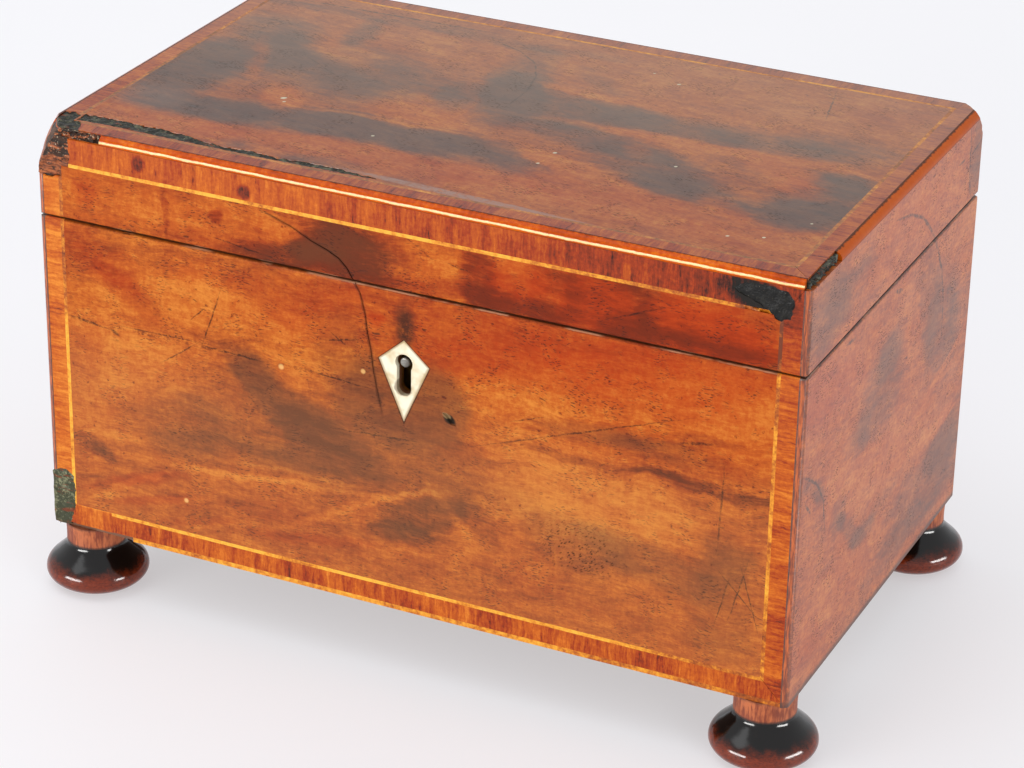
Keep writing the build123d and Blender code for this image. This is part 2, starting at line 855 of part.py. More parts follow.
for side, x in (("left", -end_veneer_x), ("right", end_veneer_x)):
    with BuildPart() as lid_end_veneer:
        with BuildSketch(lid_plane):
            with Locations((x, 0)):
                Rectangle(end_veneer_thickness, case_depth)
        extrude(amount=edging_z - lid_z)
        outside = Axis.X if x > 0 else -Axis.X
        corners = lid_end_veneer.edges().filter_by(Axis.Z).group_by(outside)[-1]
        fillet(corners, end_arris_radius)
        add(lid_seam_wear.part, mode=Mode.SUBTRACT)
        add(lid_bevel.part, mode=Mode.SUBTRACT)
    lid_end_veneer.part.label = f"lid_{side}_veneer"
    export_step(lid_end_veneer.part, f"parts/lid_{side}_veneer.step")


# Butt hinges: odd knuckles belong to the case leaf and even ones to the lid leaf

knuckle_pitch = (leaf_length + knuckle_gap) / knuckle_count
knuckle_length = knuckle_pitch - knuckle_gap


def knuckle_planes(centre_x, first):
    """Planes at the start of every second knuckle of a hinge."""
    start = centre_x - leaf_length / 2
    return [
        Plane.YZ.offset(start + index * knuckle_pitch)
        for index in range(first, knuckle_count, 2)
    ]


for side, x in (("left", -hinge_x), ("right", hinge_x)):
    case_knuckles = knuckle_planes(x, 0)
    lid_knuckles = knuckle_planes(x, 1)

    with BuildPart() as case_leaf:
        with BuildSketch(rim_plane):
            with Locations((x, leaf_mid_y)):
                Rectangle(leaf_length, leaf_depth)
        extrude(amount=-leaf_thickness)
        with BuildSketch(*[plane.offset(-knuckle_gap) for plane in lid_knuckles]):
            with Locations((hinge_y, hinge_z)):
                Circle(knuckle_radius + knuckle_clearance)
        extrude(amount=knuckle_length + 2 * knuckle_gap, mode=Mode.SUBTRACT)
        with BuildSketch(*case_knuckles):
            with Locations((hinge_y, hinge_z)):
                Circle(knuckle_radius)
        extrude(amount=knuckle_length)
        with BuildSketch(*case_knuckles):
            with Locations((hinge_y, hinge_z)):
                Circle(pin_radius + pin_clearance)
        extrude(amount=knuckle_length, mode=Mode.SUBTRACT)
        with Locations(*case_hinge_screws_at):
            add(screw_socket.part, mode=Mode.SUBTRACT)
    case_leaf.part.label = f"{side}_hinge_case_leaf"
    export_step(case_leaf.part, f"parts/{side}_hinge_case_leaf.step")

    with BuildPart() as lid_leaf:
        with BuildSketch(lid_plane):
            with Locations((x, leaf_mid_y)):
                Rectangle(leaf_length, leaf_depth)
        extrude(amount=leaf_thickness)
        with BuildSketch(*[plane.offset(-knuckle_gap) for plane in case_knuckles]):
            with Locations((hinge_y, hinge_z)):
                Circle(knuckle_radius + knuckle_clearance)
        extrude(amount=knuckle_length + 2 * knuckle_gap, mode=Mode.SUBTRACT)
        with BuildSketch(*lid_knuckles):
            with Locations((hinge_y, hinge_z)):
                Circle(knuckle_radius)
        extrude(amount=knuckle_length)
        with BuildSketch(*lid_knuckles):
            with Locations((hinge_y, hinge_z)):
                Circle(pin_radius + pin_clearance)
        extrude(amount=knuckle_length, mode=Mode.SUBTRACT)
        with Locations(*lid_hinge_screws_at):
            add(screw_socket.part, rotation=(180, 0, 0), mode=Mode.SUBTRACT)
    lid_leaf.part.label = f"{side}_hinge_lid_leaf"
    export_step(lid_leaf.part, f"parts/{side}_hinge_lid_leaf.step")

with BuildPart() as hinge_pins:
    with BuildSketch(
        Plane.YZ.offset(-hinge_x - leaf_length / 2),
        Plane.YZ.offset(hinge_x - leaf_length / 2),
    ):
        with Locations((hinge_y, hinge_z)):
            Circle(pin_radius)
    extrude(amount=leaf_length)
hinge_pins.part.label = "hinge_pins"
export_step(hinge_pins.part, "parts/hinge_pins.step")

with BuildPart() as hinge_case_screws:
    with Locations(*case_hinge_screws_at):
        add(wood_screw.part)
hinge_case_screws.part.label = "hinge_case_screws"
export_step(hinge_case_screws.part, "parts/hinge_case_screws.step")

with BuildPart() as hinge_lid_screws:
    with Locations(*lid_hinge_screws_at):
        add(wood_screw.part, rotation=(180, 0, 0))
hinge_lid_screws.part.label = "hinge_lid_screws"
export_step(hinge_lid_screws.part, "parts/hinge_lid_screws.step")


# Box lock

lock_floor_z = rim_z - lock_height
bolt_z = pin_z + bit_reach + talon_clearance - talon_depth
ledge_z = bolt_z - bolt_rest_gap - ledge_thickness
staple_z = lid_z - staple_drop
eye_z = staple_z + staple_bridge + staple_eye_height / 2

# Back plate with wings, open box of walls, top plate with two slots, and bolt ledges
with BuildPart() as lock_case:
    with BuildSketch(Plane.XZ.offset(inner_face_y)):
        rectangle_between(-lock_half_width, lock_floor_z, lock_half_width, rim_z)
    extrude(amount=lock_plate)
    with BuildSketch(Plane.XZ.offset(lock_back_y)):
        rectangle_between(-lock_half_body, lock_floor_z, lock_half_body, rim_z)
        rectangle_between(
            -lock_wall_x, lock_floor_z + lock_plate, lock_wall_x, rim_z, mode=Mode.SUBTRACT
        )
        for side in (-1, 1):
            rectangle_between(
                side * ledge_reach, ledge_z, side * lock_wall_x, ledge_z + ledge_thickness
            )
    extrude(amount=lock_cavity)
    with BuildSketch(rim_plane):
        rectangle_between(-lock_half_width, -lock_front_y, lock_half_width, -inner_face_y)
        with Locations((-staple_spacing / 2, -lock_mid_y), (staple_spacing / 2, -lock_mid_y)):
            Rectangle(
                staple_thickness + 2 * staple_slot_clearance,
                staple_width + 2 * staple_slot_clearance,
                mode=Mode.SUBTRACT,
            )
    extrude(amount=-lock_plate)
    with BuildSketch(Plane.XZ.offset(inner_face_y)):
        with Locations((0, pin_z)):
            Circle(drill_pin_rivet_radius + glue_gap)
    extrude(amount=lock_plate, mode=Mode.SUBTRACT)
    with Locations(*lock_screws_at):
        add(screw_socket.part, rotation=(-90, 0, 0), mode=Mode.SUBTRACT)
lock_case.part.label = "lock_case"
export_step(lock_case.part, "parts/lock_case.step")

with BuildPart() as lock_cap:
    with BuildSketch(Plane.XZ.offset(lock_cap_y)):
        rectangle_between(-lock_half_body, lock_floor_z, lock_half_body, rim_z - lock_plate)
    extrude(amount=lock_cap_thickness)
    extrude(keyhole.sketch, amount=face_y, mode=Mode.SUBTRACT)
lock_cap.part.label = "lock_cap"
export_step(lock_cap.part, "parts/lock_cap.step")

with BuildPart() as lock_drill_pin:
    with BuildSketch(Plane.XZ.offset(inner_face_y)):
        with Locations((0, pin_z)):
            Circle(drill_pin_rivet_radius)
    extrude(amount=lock_plate)
    with BuildSketch(Plane.XZ.offset(lock_back_y)):
        with Locations((0, pin_z)):
            Circle(drill_pin_radius)
    extrude(amount=face_y - drill_pin_setback - lock_back_y)
    fillet(lock_drill_pin.faces().sort_by(Axis.Y)[0].edges(), drill_pin_radius / 3)
lock_drill_pin.part.label = "lock_drill_pin"
export_step(lock_drill_pin.part, "parts/lock_drill_pin.step")

with BuildPart() as lock_screws:
    with Locations(*lock_screws_at):
        add(wood_screw.part, rotation=(-90, 0, 0))
lock_screws.part.label = "lock_screws"
export_step(lock_screws.part, "parts/lock_screws.step")

# Sliding bolt: notched bar with two posts whose fingers shoot through the staple eyes
finger_tips = [
    side * staple_spacing / 2 - staple_thickness / 2 - finger_gap for side in (-1, 1)
]
with BuildPart() as lock_bolt:
    with BuildSketch(lock_plane):
        rectangle_between(-bolt_left, bolt_z, bolt_right, bolt_z + bolt_height)
        with Locations((-bolt_travel / 2, bolt_z)):
            SlotOverall(talon_width, 2 * talon_depth, mode=Mode.SUBTRACT)
    extrude(amount=lock_cavity / 2 - bolt_play, both=True)
    with BuildSketch(lock_plane):
        for tip_x in finger_tips:
            shoulder_x = tip_x - bolt_travel
            rectangle_between(
                shoulder_x - post_width, bolt_z, shoulder_x, eye_z + finger_height / 2
            )
            rectangle_between(
                shoulder_x, eye_z - finger_height / 2, tip_x, eye_z + finger_height / 2
            )
    extrude(amount=finger_width / 2, both=True)
lock_bolt.part.label = "lock_bolt"
export_step(lock_bolt.part, "parts/lock_bolt.step")

# Bow spring above the bar, with its crown against the top plate
spring_foot_z = bolt_z + bolt_height + spring_gap + spring_thickness / 2
spring_crown_z = rim_z - lock_plate - spring_thickness / 2

with BuildPart() as lock_spring:
    with BuildSketch(lock_plane):
        with BuildLine():
            ThreePointArc(
                (spring_centre - spring_span / 2, spring_foot_z),
                (spring_centre, spring_crown_z),
                (spring_centre + spring_span / 2, spring_foot_z),
            )
        trace(line_width=spring_thickness)
    extrude(amount=spring_width / 2, both=True)
lock_spring.part.label = "lock_spring"
export_step(lock_spring.part, "parts/lock_spring.step")

# Link plate under the lid, with two eyed staples that drop through the lock's top plate
with BuildPart() as link_plate:
    with BuildSketch(lid_plane):
        with Locations((0, -lock_mid_y)):
            Rectangle(2 * lock_half_width, link_plate_width)
    extrude(amount=link_plate_thickness)
    with BuildSketch(lid_plane):
        with Locations((-staple_spacing / 2, -lock_mid_y), (staple_spacing / 2, -lock_mid_y)):
            Rectangle(staple_thickness, staple_width)
    extrude(amount=-staple_drop)
    fillet(
        link_plate.faces().group_by(Axis.Z)[0].edges().filter_by(Axis.X),
        staple_bridge / 2,
    )
    with BuildSketch(Plane.YZ):
        with Locations((-lock_mid_y, eye_z)):
            Rectangle(staple_eye_width, staple_eye_height)
    extrude(amount=staple_spacing, both=True, mode=Mode.SUBTRACT)
    with Locations(*link_screws_at):
        add(screw_socket.part, rotation=(180, 0, 0), mode=Mode.SUBTRACT)
link_plate.part.label = "link_plate"
export_step(link_plate.part, "parts/link_plate.step")

with BuildPart() as link_plate_screws:
    with Locations(*link_screws_at):
        add(wood_screw.part, rotation=(180, 0, 0))
link_plate_screws.part.label = "link_plate_screws"
export_step(link_plate_screws.part, "parts/link_plate_screws.step")
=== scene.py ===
"""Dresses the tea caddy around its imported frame: veneers, banding, losses, screws, feet and stage."""

import math
import random

import bmesh
import bpy
from mathutils import Matrix, Vector, geometry, noise


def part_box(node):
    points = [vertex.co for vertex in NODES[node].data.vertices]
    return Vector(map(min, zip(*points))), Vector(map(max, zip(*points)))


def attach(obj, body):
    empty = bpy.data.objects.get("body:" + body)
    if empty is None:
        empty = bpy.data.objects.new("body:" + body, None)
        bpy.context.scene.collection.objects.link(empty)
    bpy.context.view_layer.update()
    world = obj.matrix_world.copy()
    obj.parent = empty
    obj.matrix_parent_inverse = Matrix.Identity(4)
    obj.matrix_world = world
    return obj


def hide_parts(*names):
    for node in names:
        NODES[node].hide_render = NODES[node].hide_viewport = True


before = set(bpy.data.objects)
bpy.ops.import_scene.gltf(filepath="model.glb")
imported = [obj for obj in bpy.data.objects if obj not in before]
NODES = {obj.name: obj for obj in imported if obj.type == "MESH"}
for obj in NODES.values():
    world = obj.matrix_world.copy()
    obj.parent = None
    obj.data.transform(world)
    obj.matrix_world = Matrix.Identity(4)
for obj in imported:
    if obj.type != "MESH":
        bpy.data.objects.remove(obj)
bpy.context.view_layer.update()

bl_info = {
    "name": "Tea Caddy",
    "version": (1, 0, 0),
    "blender": (4, 5, 0),
    "location": "3D View > Sidebar > Tea Caddy",
    "description": "Finishes, losses, screws and stage of a veneered tea caddy",
    "category": "Object",
}

MM = 0.001


def node_box(name):
    """Lowest and highest corner of a CAD node, in millimetres."""
    low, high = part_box(name)
    return low / MM, high / MM


FRONT_LOW, FRONT_HIGH = node_box("front_veneer")
TOP_HIGH = node_box("lid_top_veneer")[1]
LID_HIGH = node_box("lid_front_veneer")[1]
KITE_LOW, KITE_HIGH = node_box("escutcheon")
CASE_HALF_LENGTH = node_box("right_end_veneer")[1].x
FRONT_Y = FRONT_LOW.y
TOP_Z = TOP_HIGH.z
SEAM_Z = (node_box("front_crossbanding")[1].z + node_box("lid_front_crossbanding")[0].z) / 2

# measures that no node's box gives, in millimetres; a pair is where a mask starts and where it is full
KITE_SHOULDER_Z = 100.2
BASE_Z = 21.6
COLLAR_Z = 14.3
FOOT_JOINT = (15.3, 14.6)
FOOT_SHADOW = (20.0, 21.0)
FOOT_RUBBED = (9.6, 5.6)
VENEER_EDGE = (-69.7, -70.5)
VENEER_JOINT = (116.55, 116.25)
PAPER_SIDE = (92, 112)
PAPER_END = (48, 64)
CUTTER_PROUD = -3.0


# ---------------------------------------------------------------- sizes and colours


def colour(name, description, default):
    return bpy.props.FloatVectorProperty(
        name=name, description=description, subtype="COLOR_GAMMA", size=3, min=0, max=1, default=default
    )


def length(name, description, default):
    return bpy.props.FloatProperty(
        name=name, description=description, subtype="DISTANCE", unit="LENGTH", min=0, default=default
    )


def share(name, description, default):
    return bpy.props.FloatProperty(
        name=name, description=description, subtype="FACTOR", min=0, max=1, default=default
    )


class CADDY_PG_woods(bpy.types.PropertyGroup):
    golden: colour("Golden mahogany", "Faded, lightest wood of the front", (0.81, 0.49, 0.18))
    amber: colour("Amber mahogany", "Middle tone of the front", (0.73, 0.375, 0.115))
    russet: colour("Russet mahogany", "Deep tone of the front", (0.59, 0.27, 0.09))
    umber: colour("Umber mahogany", "Darkest flame of the figure", (0.34, 0.15, 0.06))
    cherry: colour("Red stain", "Red polish that still lies in the figure", (0.68, 0.19, 0.0))
    smoke: colour("Smoky bloom", "Grey brown halo of old dirt", (0.50, 0.29, 0.16))
    boxwood: colour("Boxwood", "Pale lines inside the banding", (0.92, 0.68, 0.22))
    edging: colour("Stained edging", "Rounded strip on the top arris", (0.74, 0.29, 0.01))
    ebony: colour("Ebonised wood", "Black polish of the feet", (0.035, 0.022, 0.02))
    foot_red: colour("Rubbed foot", "Red wood where the black is worn", (0.50, 0.18, 0.06))
    carcass: colour("Carcass wood", "Oak and mahogany boards under the veneer", (0.50, 0.31, 0.17))
    pore_length: length("Pore length", "Length of one open pore in the veneer", 0.0012)
    bloom: share("Bloom strength", "How far the grey bloom covers the wood", 0.85)


class CADDY_PG_fittings(bpy.types.PropertyGroup):
    bone: colour("Bone", "Kite escutcheon and knobs", (0.93, 0.90, 0.80))
    brass: colour("Aged brass", "Hinges, lock and screws", (0.66, 0.50, 0.26))
    steel: colour("Aged steel", "Drill pin, spring and lock screws", (0.52, 0.51, 0.49))
    foil: colour("Tea foil", "Lead foil in the compartments", (0.50, 0.50, 0.49))
    paper: colour("Lining paper", "Paper pasted inside the lid", (0.62, 0.50, 0.36))
    slot_width: length("Screw slot width", "Width of the slot in a screw head", 0.0005)
    slot_depth: length("Screw slot depth", "Depth of the slot in a screw head", 0.0005)
    screw_seed: bpy.props.IntProperty(
        name="Screw turn", description="Fixed seed for how far each slot is turned", default=7
    )


class CADDY_PG_losses(bpy.types.PropertyGroup):
    depth: length("Loss depth", "Depth of the missing banding", 0.0007)
    filler_drop: length("Filler drop", "How far the old stopping lies below the veneer", 0.0002)
    crack_width: length("Crack width", "Width of the shrinkage crack in the front", 0.0003)
    seed: bpy.props.IntProperty(name="Loss outline", description="Fixed seed for ragged edges", default=11)


class CADDY_PG_stage(bpy.types.PropertyGroup):
    floor: colour("Floor", "Plain pale floor", (0.69, 0.69, 0.70))
    floor_glow: bpy.props.FloatProperty(
        name="Floor glow", description="Light the floor gives off, so that shadows stay pale", default=0.47
    )
    lens: bpy.props.FloatProperty(
        name="Focal length", description="Focal length in millimetres on a 36 mm sensor", default=117.68
    )
    sky: bpy.props.FloatProperty(name="Soft light", description="Strength of the even light", default=0.84)
    key: bpy.props.FloatProperty(name="Softbox glow", description="Brightness of the softboxes", default=15.0)


# ---------------------------------------------------------------- shader maths


def linear(rgb):
    """Scene colour of a display colour."""
    return tuple(c / 12.92 if c <= 0.04045 else ((c + 0.055) / 1.055) ** 2.4 for c in rgb) + (1.0,)


def worked(operation, turned=False):
    """A method that adds a Math node of two values; turned is for a reflected operator."""

    def act(self, other):
        first, second = (other, self) if turned else (self, other)
        return self.math(operation, first, second)

    return act


class Tone:
    """One output of a shader node; arithmetic on it adds Math nodes."""

    def __init__(self, finish, socket):
        self.finish = finish
        self.socket = socket

    def math(self, operation, *values):
        return self.finish.node("Math", {"operation": operation}, dict(enumerate(values)))

    __add__, __radd__ = worked("ADD"), worked("ADD", turned=True)
    __sub__, __rsub__ = worked("SUBTRACT"), worked("SUBTRACT", turned=True)
    __mul__, __rmul__ = worked("MULTIPLY"), worked("MULTIPLY", turned=True)
    __truediv__, __rtruediv__ = worked("DIVIDE"), worked("DIVIDE", turned=True)
    __gt__, __lt__ = worked("GREATER_THAN"), worked("LESS_THAN")
    most, least = worked("MAXIMUM"), worked("MINIMUM")

    def __abs__(self):
        return self.math("ABSOLUTE", self)


class Finish:
    """A material under way: its nodes, and the wood worker's measures in millimetres."""

    def __init__(self, name):
        self.material = bpy.data.materials.new(name)
        self.material.use_nodes = True
        self.tree = self.material.node_tree
        self.tree.nodes.clear()
        place = self.node("TexCoord", output="Object")
        self.place = self.vector("SCALE", place, Scale=1 / MM)
        self.x, self.y, self.z = self.split(self.place)

    def node(self, kind, settings=None, inputs=None, output=0):
        """Adds a node: settings first, then the values or links of its sockets."""
        node = self.tree.nodes.new("ShaderNode" + kind)
        settings = dict(settings or {})
        stops = settings.pop("stops", None)
        for key, value in settings.items():
            setattr(node, key, value)
        if stops:
            elements = node.color_ramp.elements
            while len(elements) < len(stops):
                elements.new(1.0)
            for element, (at, rgb) in zip(elements, stops):
                element.position = at
                element.color = linear(rgb)
        for key, value in (inputs or {}).items():
            if isinstance(value, Tone):
                self.tree.links.new(value.socket, node.inputs[key])
            else:
                node.inputs[key].default_value = value
        return Tone(self, node.outputs[output]) if node.outputs else None

    def vector(self, operation, *values, output=0, **named):
        inputs = dict(enumerate(values))
        inputs.update(named)
        return self.node("VectorMath", {"operation": operation}, inputs, output)

    def split(self, vector):
        first = self.node("SeparateXYZ", inputs={0: vector})
        outputs = first.socket.node.outputs
        return tuple(Tone(self, outputs[i]) for i in range(3))

    def axes(self, plane):
        """The two coordinates across and up a face, as in "xz"."""
        return [getattr(self, axis) for axis in plane]

    def join(self, x=0.0, y=0.0, z=0.0):
        return self.node("CombineXYZ", inputs={0: x, 1: y, 2: z})

    def mix(self, base, other, factor, mode="MIX"):
        """A colour mix; plain tuples are display colours."""
        a, b = (v if isinstance(v, Tone) else linear(v) for v in (base, other))
        settings = {"data_type": "RGBA", "blend_type": mode}
        return self.node("Mix", settings, {0: factor, 6: a, 7: b}, output=2)

    def noise(self, vector, size, detail=2.0, rough=0.5, output=0):
        """Noise whose features are about size millimetres across."""
        inputs = {"Vector": vector, "Scale": 1 / size, "Detail": detail, "Roughness": rough}
        return self.node("TexNoise", inputs=inputs, output=output)

    def cells(self, vector, scale):
        """Distance to the nearest of scattered points on a face, scale of them a millimetre."""
        flat = {"feature": "F1", "voronoi_dimensions": "2D"}
        return self.node("TexVoronoi", flat, {"Vector": vector, "Scale": scale})

    def along(self, vector, scale, turn=0.0):
        """Coordinates turned by degrees about the third axis, then squeezed by scale."""
        inputs = {"Vector": vector, "Rotation": (0, 0, math.radians(turn)), "Scale": scale}
        return self.node("Mapping", {"vector_type": "TEXTURE"}, inputs)

    def ease(self, value, low, high, out_low=0.0, out_high=1.0):
        """Smooth step from out_low to out_high as value goes from low to high."""
        inputs = {0: value, 1: low, 2: high, 3: out_low, 4: out_high}
        return self.node("MapRange", {"interpolation_type": "SMOOTHSTEP"}, inputs)

    def warp(self, vector, size, amount, detail=2.0):
        """Coordinates pushed about by noise, amount as millimetres along each axis."""
        push = self.noise(vector, size, detail, output="Color")
        push = self.vector("SUBTRACT", push, (0.5, 0.5, 0.5))
        return self.vector("MULTIPLY_ADD", push, tuple(2 * a for a in amount), vector)

    def face(self, across, up):
        """Place on a flat face; the third value is 1, so that one dot product turns and shifts it."""
        return self.join(across, up, 1.0)

    def patch(self, face, centre, half, turn=0.0, soft=0.6):
        """1 inside a soft ellipse on a face, 0 outside it."""
        cos, sin = math.cos(math.radians(turn)), math.sin(math.radians(turn))
        reach = 0.0
        for (du, dv), size in (((cos, sin), half[0]), ((-sin, cos), half[1])):
            shift = -(du * centre[0] + dv * centre[1])
            part = self.vector("DOT_PRODUCT", face, (du / size, dv / size, shift / size), output="Value")
            reach = part.math("MULTIPLY_ADD", part, part, reach)
        return self.ease(reach, (1 + soft) ** 2, (1 - soft) ** 2)

    def marks(self, vector, marks):
        """Sums listed marks: x, y, half sizes, turn, softness, then three strengths."""
        sums = [0.0, 0.0, 0.0]
        for u, v, half_u, half_v, turn, soft, *strengths in marks:
            mask = self.patch(vector, (u, v), (half_u, half_v), turn, 0.35 + 0.65 * soft)
            for i, strength in enumerate(strengths):
                if strength:
                    sums[i] = mask.math("MULTIPLY_ADD", mask, strength, sums[i])
        return sums

    def stroke(self, vector, start, end, width, soft=0.6):
        """A tapered scratch between two points on a face."""
        du, dv = end[0] - start[0], end[1] - start[1]
        centre = ((start[0] + end[0]) / 2, (start[1] + end[1]) / 2)
        half = (math.hypot(du, dv) / 2, width / 2)
        return self.patch(vector, centre, half, math.degrees(math.atan2(dv, du)), soft)

    def done(self, base, roughness, height=None, bump=0.3, reach=0.0003, **shader):
        """Closes the material with a Principled shader; height is in units of reach."""
        settings = {"Base Color": base, "Roughness": roughness}
        if height is not None:
            inputs = {"Strength": bump, "Distance": reach, "Height": height}
            settings["Normal"] = self.node("Bump", inputs=inputs)
        for key, value in shader.items():
            settings[key.replace("_", " ")] = value
        for key, value in settings.items():
            if key == "Base Color" and not isinstance(value, Tone):
                settings[key] = linear(value)
        closure = self.node("BsdfPrincipled", inputs=settings)
        self.node("OutputMaterial", inputs={"Surface": closure})
        return self.material


def dress(material, *nodes):
    """Gives CAD nodes or scene pieces a material."""
    for node in nodes:
        piece = NODES[node] if isinstance(node, str) else node
        piece.data.materials.clear()
        piece.data.materials.append(material)
        for slot in piece.material_slots:
            slot.material = material


# ---------------------------------------------------------------- woods

# Each mark is: across, up, half sizes, turn in degrees, softness, then shade, red and bloom
# as far as it has them. Places and sizes are millimetres on the face.
CASE_FRONT_MARKS = (
    # golden light areas
    (-82, 101, 24, 8, 12, 0.9, -0.16),
    (-60, 106, 22, 5, -8, 0.9, -0.12),
    (57, 72, 22, 9, -8, 0.8, -0.22, -0.15, 0.1),
    (48, 63, 14, 5, -6, 0.8, -0.18, -0.1, 0.1),
    (66, 100, 40, 9, 5, 0.9, -0.22, -0.1),
    (100, 108, 10, 8, 0, 0.9, -0.14),
    (-86, 82, 20, 7, -16, 0.8, -0.20),
    (-30, 98, 10, 10, 0, 0.9, -0.12),
    (-94, 62, 12, 9, 0, 0.9, -0.14),
    (-60, 89, 14, 3, -4, 0.8, -0.08),
    # dark cloud left of the middle, with its sharp upper edge
    (-38, 80, 22, 6, -30, 0.3, 0.24, 0.0, 0.6),
    (-40, 70, 24, 9, -16, 0.8, 0.14, 0.0, 0.5),
    (-74, 65, 13, 7, 4, 0.8, 0.14, 0.0, 0.5),
    (-54, 60, 22, 4, 6, 0.8, 0.06, 0.0, 0.4),
    (-20, 63, 16, 8, -24, 0.8, 0.08, 0.05, 0.2),
    (-48, 88, 5, 5, 20, 0.7, 0.06, 0.0, 0.4),
    # pale and dark veins of the fork
    (-26, 46, 14, 0.9, 30, 0.9, -0.16),
    (-6, 55.5, 13, 0.8, 27, 0.9, -0.20),
    (7, 61.5, 7, 0.7, 18, 0.9, -0.22),
    (14, 58, 7, 0.8, -52, 0.9, -0.14),
    (21, 51.5, 6, 1.0, -38, 0.7, -0.14),
    (4, 52.5, 12, 4.2, 24, 0.6, 0.30, 0.0, 0.6),
    (0, 46, 15, 2.4, 10, 0.7, 0.14, 0.0, 0.3),
    (22, 57, 9, 4, -46, 0.6, 0.16, 0.0, 0.2),
    (-40, 57.4, 20, 0.7, 2, 0.9, -0.24),
    (-34, 54.2, 24, 0.9, 4, 0.7, -0.24),
    (-58, 52, 16, 1.0, 3, 0.7, -0.20),
    (-103, 51.0, 8, 2.2, -26, 0.5, 0.22, 0.1, 0.4),
    (-92, 48.0, 12, 1.2, -6, 0.7, 0.14, 0.0, 0.1),
    (-84, 52.5, 20, 2.0, 2, 0.8, 0.10, 0.0, 0.2),
    # red brown foot of the front
    (10, 38, 78, 7, -2, 0.9, 0.06, 0.04, 0.1),
    (62, 43, 40, 8, -12, 0.9, 0.0, 0.02, 0.05),
    (-88, 42.5, 14, 1.4, 20, 0.7, 0.14, 0.40),
    (-92, 39.5, 12, 0.9, 30, 0.7, -0.24, 0.1),
    (-84, 37, 12, 1.1, 18, 0.7, 0.16, 0.40),
    (-74, 39.5, 10, 0.8, 12, 0.7, -0.22),
    (-66, 34, 12, 1.0, 10, 0.8, 0.12, 0.25),
    (-44, 42, 20, 2.4, 6, 0.8, 0.12, 0.1, 0.1),
    (-30, 37, 16, 1.4, 10, 0.8, 0.10, 0.3),
    # red upper band
    (34, 113, 66, 9, 2, 0.9, 0.10, 0.42),
    (78, 104, 44, 14, 0, 0.9, 0.04, 0.36),
    (-40, 116, 30, 4, 0, 0.9, 0.04, 0.08),
    (-98, 112, 12, 5, -32, 0.7, 0.18, 0.35),
    (-90, 104, 12, 2.4, -38, 0.7, 0.16, 0.25),
    (-72, 113, 5, 4, 10, 0.8, 0.14, 0.1, 0.2),
    (-104, 92, 6, 12, 0, 0.9, 0.08, 0.10),
    (-9, 111.5, 2.4, 1.8, 0, 0.5, 0.08, 0.5),
    # smoky halo round the escutcheon
    (-1, 88, 13, 9, 0, 0.95, 0.12, 0.0, 0.8),
    (-20, 96, 8, 12, 0, 0.9, 0.06, 0.0, 0.5),
    (0, 112, 2.6, 6.0, 0, 1.0, 0.16, 0.0, 0.5),
    (11, 92, 8, 8, -20, 0.9, 0.06, 0.0, 0.6),
    (2, 70, 24, 8, -8, 0.95, 0.08, 0.0, 0.6),
    (12, 79, 20, 2.0, -6, 0.8, 0.10, 0.1, 0.2),
    # streaks on the right
    (58, 92.5, 16, 2.6, 3, 0.7, 0.16, 0.0, 0.5),
    (78, 91.0, 14, 2.4, -2, 0.7, 0.20, 0.0, 0.5),
    (88, 96.5, 6, 2.4, 14, 0.6, 0.28, 0.0, 0.4),
    (100, 97.5, 5, 1.4, 0, 0.7, 0.20, 0.0, 0.2),
    (64, 84.0, 26, 1.2, 1, 0.6, 0.22, 0.0, 0.2),
    (92, 82.8, 18, 1.4, -2, 0.6, 0.26, 0.0, 0.2),
    (98, 62, 7, 6, 0, 0.7, 0.10, 0.0, 0.45),
    (98, 50, 8, 12, -4, 0.95, 0.04, 0.0, 0.4),
    (76, 56, 14, 5, -14, 0.9, 0.06, 0.0, 0.6),
    (54, 55, 12, 6, -12, 0.9, 0.10, 0.0, 0.5),
    (100, 36, 12, 6, 0, 0.9, -0.06, 0.0, 0.1),
    (106, 76, 3, 14, 0, 0.9, 0.04, 0.0, 0.1),
)

LID_FRONT_MARKS = (
    (-88, 130, 22, 5, 0, 0.9, -0.08),
    (-66, 127, 20, 4, 8, 0.9, -0.10),
    (-36, 126, 13, 3.0, 12, 0.7, 0.40, 0.0, 0.5),
    (-16, 130, 14, 6.4, 8, 0.7, 0.50, 0.1, 0.5),
    (-24, 136, 12, 2.4, -12, 0.7, 0.16, 0.0, 0.2),
    (-38, 132, 8, 2.4, -20, 0.7, -0.14),
    (6, 130, 13, 6, -6, 0.8, -0.20),
    (-58.7, 131.7, 1.8, 1.6, 0, 0.4, 0.45, 0.4),
    (-75.8, 130, 1.1, 5.4, 0, 0.6, 0.32, 0.1, 0.1),
    (-102, 132, 3, 3, 0, 0.9, 0.10, 0.3),
    (22.5, 131, 3.4, 10, 6, 1.0, 0.46, 0.3),
    (29, 127, 3.4, 5, 0, 0.7, 0.26, 0.3),
    (34, 133, 7, 5, 0, 0.8, -0.10, 0.35),
    (44, 130, 6, 8, -16, 1.0, 0.34, 0.4),
    (58, 131, 8, 6, 0, 0.8, -0.04, 0.55),
    (66, 131, 5.4, 9, -12, 1.0, 0.46, 0.3),
    (79, 128, 6.0, 6, -8, 1.0, 0.30, 0.3),
    (54, 134, 4, 5, -20, 1.0, 0.36, 0.2),
    (92, 127, 7, 5, 0, 1.0, 0.26, 0.2),
    (88, 131, 10, 6, 0, 0.8, -0.02, 0.60),
    (100, 127, 7, 4, 0, 0.9, 0.10, 0.40),
    (62, 124.5, 46, 2.4, 0, 0.9, 0.34, 0.2),
    (-60, 124, 44, 2.0, 0, 0.9, 0.20, 0.1),
    (106, 130, 3, 6, 0, 0.9, 0.14, 0.3),
)

